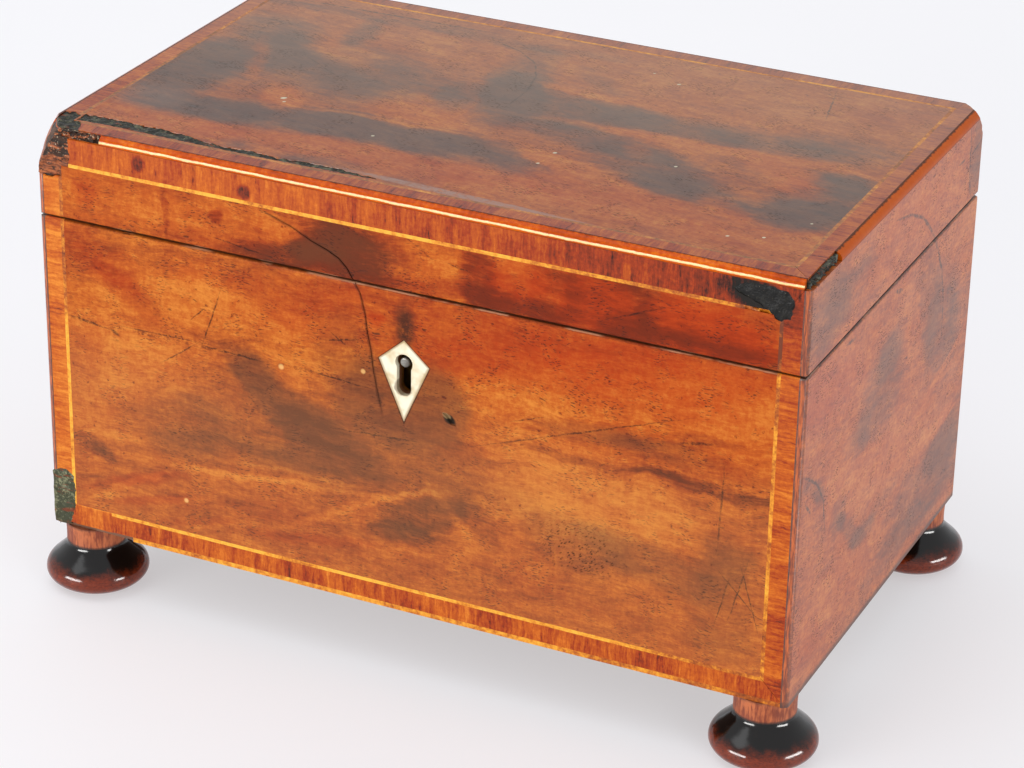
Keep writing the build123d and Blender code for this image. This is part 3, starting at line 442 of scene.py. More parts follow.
TOP_MARKS = (
    (-101, -12, 9, 17, 4, 0.9, 0.10, 0.0, 1.2),
    (-92, 8, 12, 12, 30, 1.0, 0.04, 0.0, 0.6),
    (-84, -38, 14, 6, 10, 0.9, 0.08, 0.0, 1.0),
    (-56, -34, 22, 8, 8, 0.8, 0.08, 0.0, 1.1),
    (-26, -30, 20, 8, 4, 0.8, 0.08, 0.0, 1.1),
    (-2, -33, 16, 8, -8, 0.9, 0.06, 0.0, 1.0),
    (20, -37, 12, 4, -16, 0.9, 0.06, 0.0, 0.8),
    (-12, 30, 7, 16, 8, 0.9, 0.06, 0.0, 1.0),
    (-8, 8, 8, 14, 8, 1.0, 0.06, 0.0, 0.9),
    (-22, 4, 4, 9, 10, 1.0, 0.04, 0.0, 0.9),
    (-50, 10, 18, 11, -24, 1.0, 0.02, 0.0, 0.8),
    (-66, 2, 18, 8, -30, 1.0, 0.0, 0.0, 0.7),
    (-70, 38, 3.4, 9, 8, 1.0, 0.06, 0.0, 0.9),
    (-96, 30, 11, 8, -20, 1.0, 0.04, 0.0, 0.9),
    (-82, 16, 5, 10, 28, 1.0, 0.04, 0.0, 0.6),
    (16, 10, 18, 9, -3, 0.9, 0.06, 0.0, 1.0),
    (44, 13, 18, 6, -3, 1.0, 0.04, 0.0, 0.9),
    (72, 14, 16, 5, 0, 1.0, 0.02, 0.0, 0.7),
    (30, -8, 20, 5, -8, 1.0, 0.04, 0.0, 0.8),
    (52, -20, 16, 8, -22, 0.9, 0.08, 0.0, 1.0),
    (66, -30, 14, 5, -12, 1.0, 0.06, 0.0, 0.9),
    (94, 20, 12, 8, 0, 1.0, 0.06, 0.0, 0.9),
    (102, -22, 9, 14, 0, 0.9, 0.10, 0.0, 1.2),
    (96, -34, 14, 7, 20, 1.0, 0.06, 0.0, 0.9),
    (104, -6, 8, 6, -20, 1.0, 0.04, 0.0, 0.8),
    (2, 54, 7, 2.2, 0, 1.0, 0.08, 0.0, 0.8),
    (-34, 53, 20, 3, -6, 1.0, 0.04, 0.0, 0.6),
    (-84, 53, 22, 2, 0, 1.0, 0.08, 0.0, 0.5),
    (10, 36, 10, 3, -38, 1.0, 0.02, 0.0, 0.8),
    (-59, -55, 4, 3.2, 0, 0.9, 0.06, 0.0, 1.0),
    (-32, -58, 10, 3, 4, 0.9, 0.06, 0.0, 1.0),
    (-6, -60, 8, 2, 0, 1.0, 0.06, 0.0, 0.7),
    (98, 52, 9, 8, 0, 1.0, 0.04, 0.2, 0.4),
    (33, -28, 1.8, 3.0, 30, 0.9, 0.10, 0.0, 0.8),
    (-70, 0, 60, 56, 0, 1.0, 0.0, 0.0, 0.44),
    (20, -8, 60, 26, 0, 1.0, 0.0, 0.0, 0.36),
    (-94, -20, 16, 26, 0, 1.0, 0.06, 0.0, 0.4),
    (88, -18, 22, 22, 20, 1.0, 0.04, 0.0, 0.3),
    # orange islands between the clouds
    (-24, -12, 13, 10, -10, 0.7, -0.10, 0.1, -0.7),
    (-18, 8, 3, 10, 10, 0.7, -0.06, 0.1, -0.4),
    (58, 2.5, 42, 2.4, 1, 0.6, -0.12, 0.1, -0.7),
    (84, -4, 14, 4, -26, 0.6, -0.10, 0.2, -0.8),
    (92, -14, 8, 4, -30, 0.6, -0.10, 0.2, -0.8),
    (58, -46, 46, 8, -6, 0.9, -0.08, 0.2, -0.8),
    (26, -27, 10, 3.4, -14, 0.6, -0.12, 0.1, -0.9),
    (42, -11, 3, 4, 30, 0.7, -0.10, 0.1, -0.6),
    (78, -34, 10, 3, -34, 0.7, -0.08, 0.1, -0.7),
    (-88, -51, 22, 5, -4, 0.8, -0.10, 0.25, -0.6),
    (-20, -49, 44, 6, 0, 0.8, -0.04, 0.25, -0.6),
    (-66, 22, 8, 5, -30, 0.8, -0.10, 0.0, -0.4),
    (-66, -20, 4, 6, 30, 0.8, -0.14, 0.1, -0.6),
    (-44, 40, 24, 7, 0, 0.9, -0.06, 0.0, -0.2),
    (54, 44, 50, 14, 0, 0.9, -0.06, 0.0, -0.3),
    (8, 24, 12, 2.0, -8, 0.7, -0.12, 0.0, -0.6),
    (30, 22.5, 16, 1.4, 0, 0.7, -0.10, 0.0, -0.4),
    (-88, 6, 2.2, 14, 22, 0.7, -0.08, 0.1, -0.4),
    (-36, -22, 20, 0.8, 4, 0.6, -0.20, 0.0, -0.5),
)

END_MARKS = (
    (-58, 134, 13, 10, 0, 0.8, 0.06, 0.0, 1.0),
    (-40, 136, 12, 7, 0, 0.9, 0.02, 0.0, 0.5),
    (-60, 84, 9, 2.4, -40, 0.5, 0.10, 0.0, 0.7),
    (-54, 74, 4, 8, 14, 0.6, 0.08, 0.0, 0.5),
    (-38, 67, 6, 6, -20, 0.5, 0.10, 0.0, 1.0),
    (-28, 57, 11, 2.6, -38, 0.6, 0.08, 0.0, 0.9),
    (-9, 88, 14, 12, 20, 0.8, 0.06, 0.0, 0.9),
    (-2, 100, 8, 5, 10, 0.8, 0.04, 0.0, 0.7),
    (-26, 84, 7, 5, 0, 0.8, 0.04, 0.0, 0.5),
    (-16, 49, 8, 3, -10, 0.6, 0.06, 0.0, 0.9),
    (2, 53, 10, 3, 12, 0.8, 0.04, 0.0, 0.6),
    (30, 104, 7, 16, 14, 0.8, 0.04, 0.0, 0.7),
    (44, 90, 10, 16, 0, 0.8, 0.08, 0.0, 0.8),
    (60, 88, 9, 14, 0, 0.9, 0.06, 0.0, 0.5),
    (38, 38, 28, 10, -4, 0.7, 0.08, 0.0, 0.8),
    (58, 48, 14, 8, 0, 0.8, 0.06, 0.0, 0.9),
    (0, 30, 50, 5, 0, 0.9, 0.06, 0.0, 0.4),
    (66, 134, 6, 12, 0, 0.5, 0.08, 0.0, 1.0),
    (-12, 137, 18, 3, -6, 0.8, 0.02, 0.0, 0.5),
    (32, 56.5, 24, 1.4, -4, 0.7, -0.14, 0.1, -0.7),
    (52, 55.5, 8, 2.0, 0, 0.7, -0.14, 0.2, -0.8),
    (50, 75, 16, 1.2, 18, 0.7, -0.14, 0.1, -0.4),
    (40, 70, 18, 1.0, 8, 0.7, -0.10, 0.1, -0.4),
    (14, 98, 1.2, 16, 16, 0.7, -0.08, 0.0, -0.3),
    (14, 136, 26, 7, -10, 0.9, -0.06, 0.1, -0.3),
    (-50, 110, 18, 8, -14, 0.9, -0.02, 0.3, -0.2),
    (-10, 68, 30, 8, -8, 0.9, -0.10, 0.1, -0.4),
    (-42, 38, 24, 9, 0, 0.9, -0.08, 0.1, -0.4),
    (60, 112, 10, 10, 0, 0.9, -0.10, 0.0, -0.3),
)

BACK_MARKS = (
    (-60, 80, 40, 10, 12, 0.8, 0.08, 0.0, 0.8),
    (40, 60, 50, 12, -10, 0.8, 0.08, 0.0, 0.8),
    (70, 105, 30, 6, 6, 0.8, 0.04, 0.2, 0.4),
    (-20, 130, 50, 5, 0, 0.8, 0.06, 0.0, 0.6),
    (-90, 40, 20, 8, 0, 0.8, -0.12, 0.1),
    (10, 96, 50, 5, -6, 0.8, -0.14, 0.1),
)

CRACK = (
    (-42.3, 136.7),
    (-35, 134.2),
    (-28.7, 131.2),
    (-24, 129.6),
    (-20.3, 127.8),
    (-17.8, 125.4),
    (-16.2, 122.8),
    (-13.7, 118.7),
    (-12.0, 112),
    (-11.4, 107),
    (-10.3, 102),
    (-9.5, 95.3),
    (-7.3, 85),
)

FRONT_SCRATCHES = (
    ((28.8, 82), (78, 100), 0.42),
    ((-64.5, 92), (-59, 107.8), 0.45),
    ((-77, 84), (-66, 92), 0.35),
    ((-68, 99), (-64, 103), 0.35),
    ((95.5, 69), (96.2, 88), 0.5),
    ((-24, 102), (-15, 104), 0.5),
    ((-23, 104.6), (-18, 101.6), 0.4),
    ((42, 93), (34, 90), 0.35),
    ((100, 46), (104, 62), 0.4),
    ((97, 58), (106, 49), 0.35),
    ((96, 44), (99, 56), 0.4),
    ((-20, 75), (2, 76.5), 0.5),
    ((-108, 91.4), (-97, 90), 0.6),
    ((-95, 90), (-92.6, 88.4), 0.9),
    ((-89, 91.6), (-66, 92.2), 0.4),
    ((-64, 91.4), (-46, 90.6), 0.5),
    ((-30, 91.2), (-12, 90.0), 0.4),
    ((84, 95), (92, 96.6), 0.8),
    ((103, 60), (108, 44), 0.35),
)

LID_SCRATCHES = (((64, 128), (76, 133), 0.5), ((14, 133), (20, 132), 0.4), ((-60, 126), (-44, 124), 0.4))

TOP_SCRATCHES = (
    ((-30, 51), (-21, 47), 0.6),
    ((-21, 47), (-13, 40), 0.6),
    ((-13, 40), (-8, 30), 0.5),
    ((-8, 30), (-5.4, 18), 0.5),
    ((-5.4, 18), (-5.3, 6), 0.4),
    ((76, 58), (80, 40), 0.5),
    ((-74, 12), (-62, 4), 0.4),
    ((-99, 56.6), (-42, 57.6), 0.9),
)

END_SCRATCHES = (
    ((-4, 141.4), (8, 138.4), 0.7),
    ((8, 138.4), (18.6, 133.4), 0.9),
    ((18.6, 133.4), (28.6, 125), 1.0),
    ((28.6, 125), (35.2, 116.6), 1.0),
    ((35.2, 116.6), (40.2, 108), 1.1),
    ((40.2, 108), (43.4, 98), 0.9),
    ((43.4, 98), (44.4, 85), 0.7),
    ((-67, 90.6), (-58, 85), 0.9),
    ((-58, 85), (-51.7, 77), 0.8),
    ((-51.7, 77), (-49.2, 67), 0.7),
    ((58, 147), (60, 130), 0.7),
    ((60, 130), (62, 124), 0.7),
    ((49, 138.4), (54, 138), 0.7),
    ((61, 137.4), (70, 139.4), 0.7),
    ((-1, 118.4), (4, 117), 1.2),
    ((-40, 118.6), (-34, 118), 0.9),
    ((-66, 82), (-62, 78), 0.9),
)

SPECKS = ((4.2, 95.2, 0.6), (-12.8, 94.8, 0.6), (-6.0, 97.0, 0.4), (-71.5, 39.6, 0.6), (-39, 90.4, 0.7))
DUST = (
    (-65.5, -20, 0.9),
    (-64, -22.5, 0.5),
    (22, -21.5, 0.6),
    (27, -64.5, 1.0),
    (32, 44, 0.6),
    (21, -30.6, 0.5),
    (-29, -34, 0.5),
    (87, -53, 0.5),
    (96, -49.5, 0.5),
    (56, -15, 0.5),
    (104, -35, 0.4),
    (22, 49, 0.4),
)


def mahogany(
    name,
    plane,
    marks,
    scratches=(),
    grain_turn=0.0,
    stains=None,
    depth=0.47,
    red=0.10,
    figure=0.50,
    smoke=None,
    fringe=0.5,
    sheen=0.10,
    veil_end=1.0,
    film=0.4,
):
    """Old figured mahogany veneer; plane is the two axes of the face it lies on."""
    woods = bpy.context.scene.caddy_woods
    finish = Finish(name)
    face = finish.face(*finish.axes(plane))
    drift = finish.warp(face, 22.0, (4.0, 2.8, 0), 2.0)
    feather = finish.warp(drift, 3.4, (2.4, 0.9, 0), 4.0)
    shade, redness, bloom = finish.marks(feather, marks)

    # cloudy figure, and fibres that run with the grain
    cloud = finish.noise(finish.along(drift, (2.0, 1.0, 1), grain_turn), 13.0, 4.0, 0.62)
    flame = finish.noise(finish.along(drift, (4.0, 1.0, 1), grain_turn), 2.8, 6.0, 0.72)
    fibre = finish.noise(finish.along(feather, (7.0, 1.0, 1), grain_turn), 0.55, 2.0, 0.6)
    mottle = finish.noise(face, 1.6, 5.0, 0.82)
    rays = finish.noise(finish.along(face, (1.0, 6.0, 1), grain_turn), 1.3, 2.0, 0.6)
    grain = (flame - 0.5) * 1.15 + (fibre - 0.5) * 0.50
    tone = depth + (cloud - 0.5) * figure + grain + (mottle - 0.5) * 0.78 + (rays - 0.5) * 0.24
    tone = tone + shade * (0.5 + flame)
    stops = ((0.06, woods.golden), (0.36, woods.amber), (0.66, woods.russet), (0.98, woods.umber))
    base = finish.node("ValToRGB", {"stops": stops}, {0: tone})
    redder = (redness + (mottle - 0.5) * 1.1 + (cloud - 0.5) * 0.7 + red).most(0.0).least(0.95)
    base = finish.mix(base, woods.cherry, redder * 0.75)
    flames = finish.ease(shade * (0.5 + flame) + grain * 0.6, 0.12, 0.85)
    base = finish.mix(base, (0.34, 0.12, 0.04), flames * 0.75)
    veil = finish.ease(bloom + (flame - 0.5) * fringe + (mottle - 0.5) * 0.5 * fringe, 0.10, veil_end)
    dimmed = finish.mix(base, (0.79, 0.84, 1.0), 1.0, "MULTIPLY")
    smoky = finish.mix(dimmed, smoke or woods.smoke, film)
    base = finish.mix(base, smoky, veil * woods.bloom)

    # open pores as short dashes along the grain, and loose dark and red specks
    pore_size = woods.pore_length / MM
    dashes = finish.cells(finish.along(feather, (pore_size * 1.9, 0.62, 1), grain_turn), 1.0)
    where = finish.noise(face, 8.0, 2.0)
    pore = finish.ease(dashes, 0.30, 0.12) * finish.ease(where, 0.45, 0.66)
    spots = finish.cells(feather, 0.22)
    speck = finish.ease(spots, 0.14, 0.05)
    base = finish.mix(base, (0.20, 0.08, 0.035), pore * 0.75)
    base = finish.mix(base, (0.30, 0.07, 0.03), speck * finish.ease(mottle, 0.50, 0.62) * 0.8)

    # scratches and stains
    height = (fibre - 0.5) * 0.5 - pore * 0.6
    wobble = finish.warp(face, 2.6, (0.4, 0.4, 0))
    cut = None
    for start, end, width in scratches:
        line = finish.stroke(wobble, start, end, width)
        cut = line if cut is None else cut.most(line)
    if cut is not None:
        broken = cut * finish.ease(mottle, 0.40, 0.56, 0.25, 1.0)
        base = finish.mix(base, (0.16, 0.08, 0.05), broken * 0.8)
    if stains:
        base, height = stains(finish, face, wobble, mottle, base, height)
    roughness = 0.40 + (cloud - 0.5) * 0.16 + (mottle - 0.5) * 0.14 + pore * 0.2
    return finish.done(base, roughness, height, 0.5, 0.00012, Specular_IOR_Level=sheen)


def crack_line(finish, wobble, base, points):
    """Dark dirt along both lips of the shrinkage crack."""
    cut = None
    for start, end in zip(points, points[1:]):
        du, dv = (end[0] - start[0]) * 0.12, (end[1] - start[1]) * 0.12
        line = finish.stroke(wobble, (start[0] - du, start[1] - dv), (end[0] + du, end[1] + dv), 0.9, 0.6)
        cut = line if cut is None else cut.most(line)
    return finish.mix(base, (0.15, 0.08, 0.05), cut * 0.45)


def kite_reach(finish):
    """0 on the kite's cross line, 1 on its outline and more beyond it."""
    middle, half = (KITE_LOW.x + KITE_HIGH.x) / 2, (KITE_HIGH.x - KITE_LOW.x) / 2
    edge = abs(finish.x - middle) / half
    above = (finish.z - KITE_SHOULDER_Z) / (KITE_HIGH.z - KITE_SHOULDER_Z)
    below = (KITE_SHOULDER_Z - finish.z) / (KITE_SHOULDER_Z - KITE_LOW.z)
    return edge + above.most(below)


def kite_dirt(finish, base, mottle):
    """Dark wax in the joint round the escutcheon."""
    rim = finish.ease(kite_reach(finish) + (mottle - 0.5) * 0.12, 1.09, 1.0)
    return finish.mix(base, (0.11, 0.08, 0.055), rim * 0.8)


def case_front_stains(finish, face, wobble, mottle, base, height):
    """Crack, chip beside the escutcheon, flecks, and the seam's darker wood with a painted highlight on its
    worn lip.
    """
    base = finish.mix(base, (0.64, 0.50, 0.38), finish.ease(finish.z, 100, 70) * 0.13)
    base = crack_line(finish, wobble, base, CRACK[6:])
    base = kite_dirt(finish, base, mottle)
    finger_wax = finish.patch(wobble, (0.4, 110.4), (1.8, 4.4), 0, 0.9)
    base = finish.mix(base, (0.17, 0.105, 0.06), finger_wax * finish.ease(mottle, 0.34, 0.56, 0.35, 0.8))
    chip = finish.patch(wobble, (14.2, 86), (2.0, 1.3), -30, 0.3)
    rim = finish.patch(wobble, (13.3, 86.9), (1.3, 0.8), -30, 0.3)
    base = finish.mix(base, (0.14, 0.11, 0.08), chip)
    base = finish.mix(base, (0.62, 0.50, 0.34), rim * 0.7)
    dashed = finish.patch(wobble, (-57, 91), (52, 0.5), 0, 0.5) * finish.ease(mottle, 0.50, 0.60)
    base = finish.mix(base, (0.22, 0.11, 0.06), dashed * 0.45)
    for u, v, size in SPECKS:
        base = finish.mix(base, (0.92, 0.72, 0.44), finish.patch(face, (u, v), (size, size), 0, 0.6) * 0.7)
    stipple = finish.cells(finish.along(wobble, (1.5, 0.7, 1), 38), 0.85)
    zone = finish.patch(face, (54, 55), (11, 7), -14, 0.5)
    pitted = finish.ease(stipple, 0.34, 0.16) * finish.ease(mottle, 0.42, 0.56) * zone
    base = finish.mix(base, (0.14, 0.09, 0.05), pitted * 0.75)
    return seam_darkening_and_highlight(finish, face, mottle, base, -1), height


def lid_front_stains(finish, face, wobble, mottle, base, height):
    """Crack, and the seam's darker wood with a painted highlight on the worn lip of the lid."""
    return seam_darkening_and_highlight(finish, face, mottle, crack_line(finish, wobble, base, CRACK[:7]), 1), height


def top_stains(finish, face, wobble, mottle, base, height):
    """Grey film of dust and painted sheen, specks of dust, the pale scrape beside the old stopping and a
    painted highlight at the left.
    """
    for u, v, size in DUST:
        base = finish.mix(base, (0.86, 0.80, 0.70), finish.patch(face, (u, v), (size, size * 0.7), 40, 0.3))
    # grey dust film with painted sheen
    base = grey_dust_and_sheen(finish, base, mottle)
    scrape = finish.patch(wobble, (14, -61.4), (36, 1.5), -3, 0.3)
    base = finish.mix(base, (0.58, 0.45, 0.40), scrape * finish.ease(mottle, 0.40, 0.56, 0.35, 0.9))
    # painted highlight: a lighter grey patch near the left end of the top
    left = finish.patch(wobble, (-101, -36), (8, 6), 0, 1.0)
    return finish.mix(base, (0.46, 0.38, 0.34), left * 0.3), height


def end_stains(finish, face, wobble, mottle, base, height):
    """Dark front edge of the end veneer, and its worn arrises."""
    upright = finish.noise(finish.along(finish.place, (1, 1, 9)), 0.5, 3.0, 0.6)
    edge = finish.ease(finish.y, *VENEER_EDGE)
    rim = finish.mix((0.76, 0.36, 0.10), (0.46, 0.18, 0.05), finish.ease(upright, 0.36, 0.62))
    base = finish.mix(base, rim, edge)
    joint = finish.ease(abs(finish.x), *VENEER_JOINT) * edge
    base = finish.mix(base, (0.20, 0.09, 0.04), joint * finish.ease(mottle, 0.36, 0.5, 0.35, 0.85))
    arris = finish.ease(abs(finish.x), 117.1, 117.5) * finish.ease(finish.y, -69.0, -69.7)
    base = finish.mix(base, (0.30, 0.13, 0.06), arris * finish.ease(mottle, 0.40, 0.56, 0.0, 0.55))
    low = finish.ease(finish.z + (mottle - 0.5) * 3, BASE_Z + 1.8, BASE_Z)
    base = finish.mix(base, (0.20, 0.10, 0.07), low * 0.8)
    # the seam: darker wood with a painted highlight on its lip
    return seam_darkening_and_highlight(finish, face, mottle, base, 0), height


def back_stains(finish, face, wobble, mottle, base, height):
    """Darker wood with a painted highlight along the seam, and a dirty joint at the foot of the back."""
    low = finish.ease(finish.z + (mottle - 0.5) * 3, BASE_Z + 1.8, BASE_Z)
    base = finish.mix(base, (0.20, 0.10, 0.07), low * 0.8)
    return seam_darkening_and_highlight(finish, face, mottle, base, 0), height


def seam_darkening_and_highlight(finish, face, mottle, base, side):
    """Darker wood along the seam, with a pale painted highlight on its worn lip: side is 1 above it, -1 below
    it and 0 for both.
    """
    rise = finish.split(face)[1] - SEAM_Z
    reach = abs(rise) if side == 0 else rise * side
    # darker along the seam
    dirt = finish.ease(reach - mottle * 1.1, 0.35, -0.20)
    base = finish.mix(base, (0.18, 0.085, 0.045), dirt * (0.9 if side == 0 else 0.5))
    # painted highlight: a pale line on the worn lip of the seam; on the case it shows more from x -45 to the
    # right
    spell = finish.noise(finish.along(face, (3.0, 1, 1)), 3.0, 2.0)
    if side < 0:
        spell = spell + finish.ease(finish.x, -45, -30, 0.0, 0.12)
    bare = finish.ease(reach - mottle * 0.5, 0.42, 0.2) * finish.ease(spell, 0.56, 0.70)
    return finish.mix(base, (0.80, 0.58, 0.44), bare * (0.35 if side == 0 else 0.65))


def crossband(name, plane, side_from, end_depth, light, worn, film=False, contrast=1.0):
    """Cross-grained banding: streaks run square to each strip, mitred at the corners."""
    finish = Finish(name)
    u, v = finish.axes(plane)
    on_side = (abs(u) - side_from) > end_depth(v)
    face = finish.warp(finish.face(u, v), 4.0, (0.5, 0.5, 0))
    lying = finish.along(face, (8.0, 1.0, 1))
    standing = finish.along(face, (1.0, 8.0, 1))
    pick = finish.node("Mix", {"data_type": "VECTOR"}, {0: on_side, 4: standing, 5: lying}, output=1)
    streak = finish.noise(pick, 0.75, 5.0, 0.7)
    broad = finish.noise(pick, 2.6, 2.0, 0.5)
    slow = finish.noise(face, 14.0, 3.0)
    mottle = finish.noise(face, 1.2, 3.0, 0.75)
    figure = ((streak - 0.5) * 1.1 + (broad - 0.5) * 0.7) * contrast
    tone = 0.36 - light + figure + (slow - 0.5) * 0.5 + (mottle - 0.5) * 0.5
    tone = tone + worn(finish, u, v)
    stops = (
        (0.02, (0.86, 0.52, 0.16)),
        (0.30, (0.76, 0.37, 0.07)),
        (0.60, (0.60, 0.20, 0.03)),
        (0.90, (0.27, 0.09, 0.03)),
        (1.0, (0.09, 0.065, 0.045)),
    )
    base = finish.node("ValToRGB", {"stops": stops}, {0: tone})
    dark = finish.ease(streak, 0.60, 0.70) * finish.ease(broad, 0.46, 0.6)
    base = finish.mix(base, (0.17, 0.07, 0.035), dark * 0.75)
    # painted sheen: the top banding takes the same grey film of dust and reflected light as the top
    if film:
        base = grey_dust_and_sheen(finish, base, slow)
    roughness = 0.40 + (slow - 0.5) * 0.2 + dark * 0.2
    sheen = 0.5 if film else 0.18
    return finish.done(base, roughness, (streak - 0.5) * 0.6 - dark, 0.5, 0.0001, Specular_IOR_Level=sheen)


def grey_dust_and_sheen(finish, base, slow):
    """Grey film on the top, thickest towards the back: grey dust and painted sheen, the grey of reflected
    light.
    """
    # painted sheen with dust: a cool grey tint over all, then a grey veil growing towards the back
    base = finish.mix(base, (0.89, 0.92, 0.90), 1.0, "MULTIPLY")
    veil = finish.ease(finish.y + (slow - 0.5) * 60, -50, 66, 0.0, 0.26)
    return finish.mix(base, (0.62, 0.56, 0.48), veil)


def lid_band_wear(finish, u, v):
    """The lid banding is redder and darker, most of all towards the right, with two old plugs."""
    face = finish.face(u, v)
    plugs = finish.patch(face, (-84, 143.7), (1.7, 2.0), 0, 0.6).most(
        finish.patch(face, (-50, 141.7), (1.7, 1.8), 0, 0.6)
    )
    halo = finish.patch(face, (102, 143), (8, 3.4), -12, 0.7)
    side = finish.ease(v, 135.5, 133.5) * 0.14
    return finish.ease(u, -60, 110, 0.06, 0.33) + plugs * 0.42 + halo * 0.42 - side


def case_band_wear(finish, u, v):
    """The case banding is faded at the sides and red brown along the foot."""
    foot = finish.ease(v, 29.0, 27.6)
    return foot * 0.12 + finish.ease(u, 100, 112) * 0.08 - finish.ease(u, -106, -110) * 0.08 + 0.04


def replaced_wear(finish, u, v):
    """Later wood let in at the lower left corner: plainer, with a dirty yellow upper edge."""
    return 0.06 - finish.ease(v, 28.4, 28.9) * 0.2


def top_band_wear(finish, u, v):
    """The top banding is darker along the front and the back."""
    return finish.ease(abs(v), 62, 64) * 0.06


def pale_line(name, dirt, film=0.0):
    """Boxwood stringing; dirt gives how brown it is at a place, from 0 to 1, and film greys it."""
    woods = bpy.context.scene.caddy_woods
    finish = Finish(name)
    streak = finish.noise(finish.place, 1.6, 4.0, 0.65)
    slow = finish.noise(finish.place, 12.0, 2.0)
    brown = dirt(finish) + (streak - 0.5) * 1.5 + (slow - 0.5) * 1.1
    stops = (
        (0.0, woods.boxwood),
        (0.30, (0.86, 0.55, 0.12)),
        (0.60, (0.68, 0.34, 0.06)),
        (0.9, (0.42, 0.18, 0.05)),
    )
    base = finish.node("ValToRGB", {"stops": stops}, {0: brown})
    if film:
        base = finish.mix(base, (0.64, 0.55, 0.42), film)
    return finish.done(base, 0.45 + (slow - 0.5) * 0.2, streak, 0.4, 0.0001, Specular_IOR_Level=0.25)


def case_line_dirt(finish):
    """The case's lines are browner towards the right and at the upper left."""
    left = finish.ease(finish.x, -108, -109) * finish.ease(finish.z, 84, 96)
    right = finish.ease(finish.x, 40, 112)
    return left * 0.45 + right * 0.28 + 0.16


def lid_line_dirt(finish):
    """The lid's lines are browner at their ends and towards the right."""
    return finish.ease(finish.z, 138.2, 137.4) * 0.40 + finish.ease(finish.x, 20, 100) * 0.32 + 0.18


def top_line_dirt(finish):
    """The top's lines are brown, a little less along the back."""
    back = finish.ease(finish.y, 60, 61)
    return 0.66 - back * 0.25


def base_line_dirt(finish):
    """The line on the bottom arris is worn brown at its right end."""
    return finish.ease(finish.x, -60, 100) * 0.2 + finish.ease(finish.x, 88, 108) * 0.4 + 0.25


def stained_edging(name):
    """Rounded strip with gold and red brown stain, a cream painted highlight on partly rubbed wood along its
    lower front, dirty along both of its joints.
    """
    woods = bpy.context.scene.caddy_woods
    finish = Finish(name)
    streak = finish.noise(finish.place, 1.3, 4.0, 0.65)
    slow = finish.noise(finish.place, 11.0, 3.0)
    tone = streak * 0.6 + slow * 0.5 - 0.05
    right = finish.ease(finish.x, 115.4, 116.2)
    stops = ((0.25, (0.86, 0.46, 0.08)), (0.5, woods.edging), (0.75, (0.52, 0.17, 0.01)))
    base = finish.node("ValToRGB", {"stops": stops}, {0: tone})
    base = finish.mix(base, (0.70, 0.31, 0.02), right * 0.8)
    low = node_box("lid_edging")[0]
    # painted highlight: a cream line along the lower front of the strip, on wood that is partly rubbed
    rubbed = abs(finish.z + (slow - 0.5) * 0.7 - (low.z + 0.95))
    rubbed = finish.ease(rubbed - (streak - 0.5) * 0.5, 0.42, 0.12) * finish.ease(finish.y, -70.2, -70.5)
    base = finish.mix(base, (1.0, 0.86, 0.60), rubbed * 0.9)
    joint = finish.ease(finish.z + streak * 0.6, low.z + 0.65, low.z + 0.2)
    inner = finish.ease(abs(finish.x) - streak * 1.6, 116.0, 115.5)
    inner = inner * finish.ease(abs(finish.y) - streak * 0.9, 69.1, 68.6)
    base = finish.mix(base, (0.17, 0.11, 0.06), joint.most(inner) * 0.85)
    roughness = 0.17 + (slow - 0.5) * 0.08 + right * 0.3
    return finish.done(base, roughness, streak, 0.3, 0.0001, Specular_IOR_Level=0.12)


def plain_wood(name, rgb, dark, grain=(14.0, 1.0, 1.0), size=1.0, rough=0.55, contrast=0.8, grime=()):
    """Boards inside and underneath, with straight grain; grime is places with a reach, blackened."""
    finish = Finish(name)
    place = finish.warp(finish.place, 30.0, (3, 3, 3))
    ring = finish.noise(finish.along(place, grain), size, 4.0, 0.6)
    slow = finish.noise(place, 24.0, 3.0)
    pore = finish.ease(finish.noise(finish.along(place, grain), size * 0.22, 2.0), 0.62, 0.74)
    tone = (ring - 0.5) * contrast + (slow - 0.5) * 0.5 + 0.4
    base = finish.mix(rgb, dark, tone.most(0.0).least(1.0))
    base = finish.mix(base, (0.12, 0.07, 0.04), pore * 0.5)
    for *at, reach in grime:
        gap = finish.vector("DISTANCE", finish.place, tuple(at), output="Value")
        rough_edge = finish.noise(finish.place, 2.2, 4.0, 0.7)
        black = finish.ease(gap + rough_edge * 6, reach + 5, reach)
        black = black * finish.ease(rough_edge, 0.60, 0.44, 0.45, 0.95)
        base = finish.mix(base, (0.09, 0.075, 0.06), black)
    return finish.done(base, rough + (slow - 0.5) * 0.2, ring - pore, 0.4, 0.00015)


def old_filler(name, body, light, red=0.0):
    """Black green stopping, lumpy and cracked; red lets broken wood show through."""
    finish = Finish(name)
    lump = finish.noise(finish.place, 2.4, 4.0, 0.65)
    fine = finish.noise(finish.place, 0.6, 3.0, 0.7)
    base = finish.mix(body, light, finish.ease(lump + (fine - 0.5) * 0.4, 0.46, 0.72))
    if red:
        wood = finish.noise(finish.along(finish.place, (5.0, 1.0, 1.0)), 1.6, 4.0, 0.65)
        showing = finish.ease(wood, 0.60 - red * 0.2, 0.68 - red * 0.2)
        base = finish.mix(base, (0.46, 0.20, 0.09), showing * 0.85)
    crumb = finish.ease(fine, 0.66, 0.72)
    base = finish.mix(base, (0.62, 0.58, 0.48), crumb * 0.7)
    roughness, height = 0.42 + (lump - 0.5) * 0.4 + crumb * 0.2, lump + fine * 0.5
    return finish.done(base, roughness, height, 0.7, 0.0003, Specular_IOR_Level=0.2)


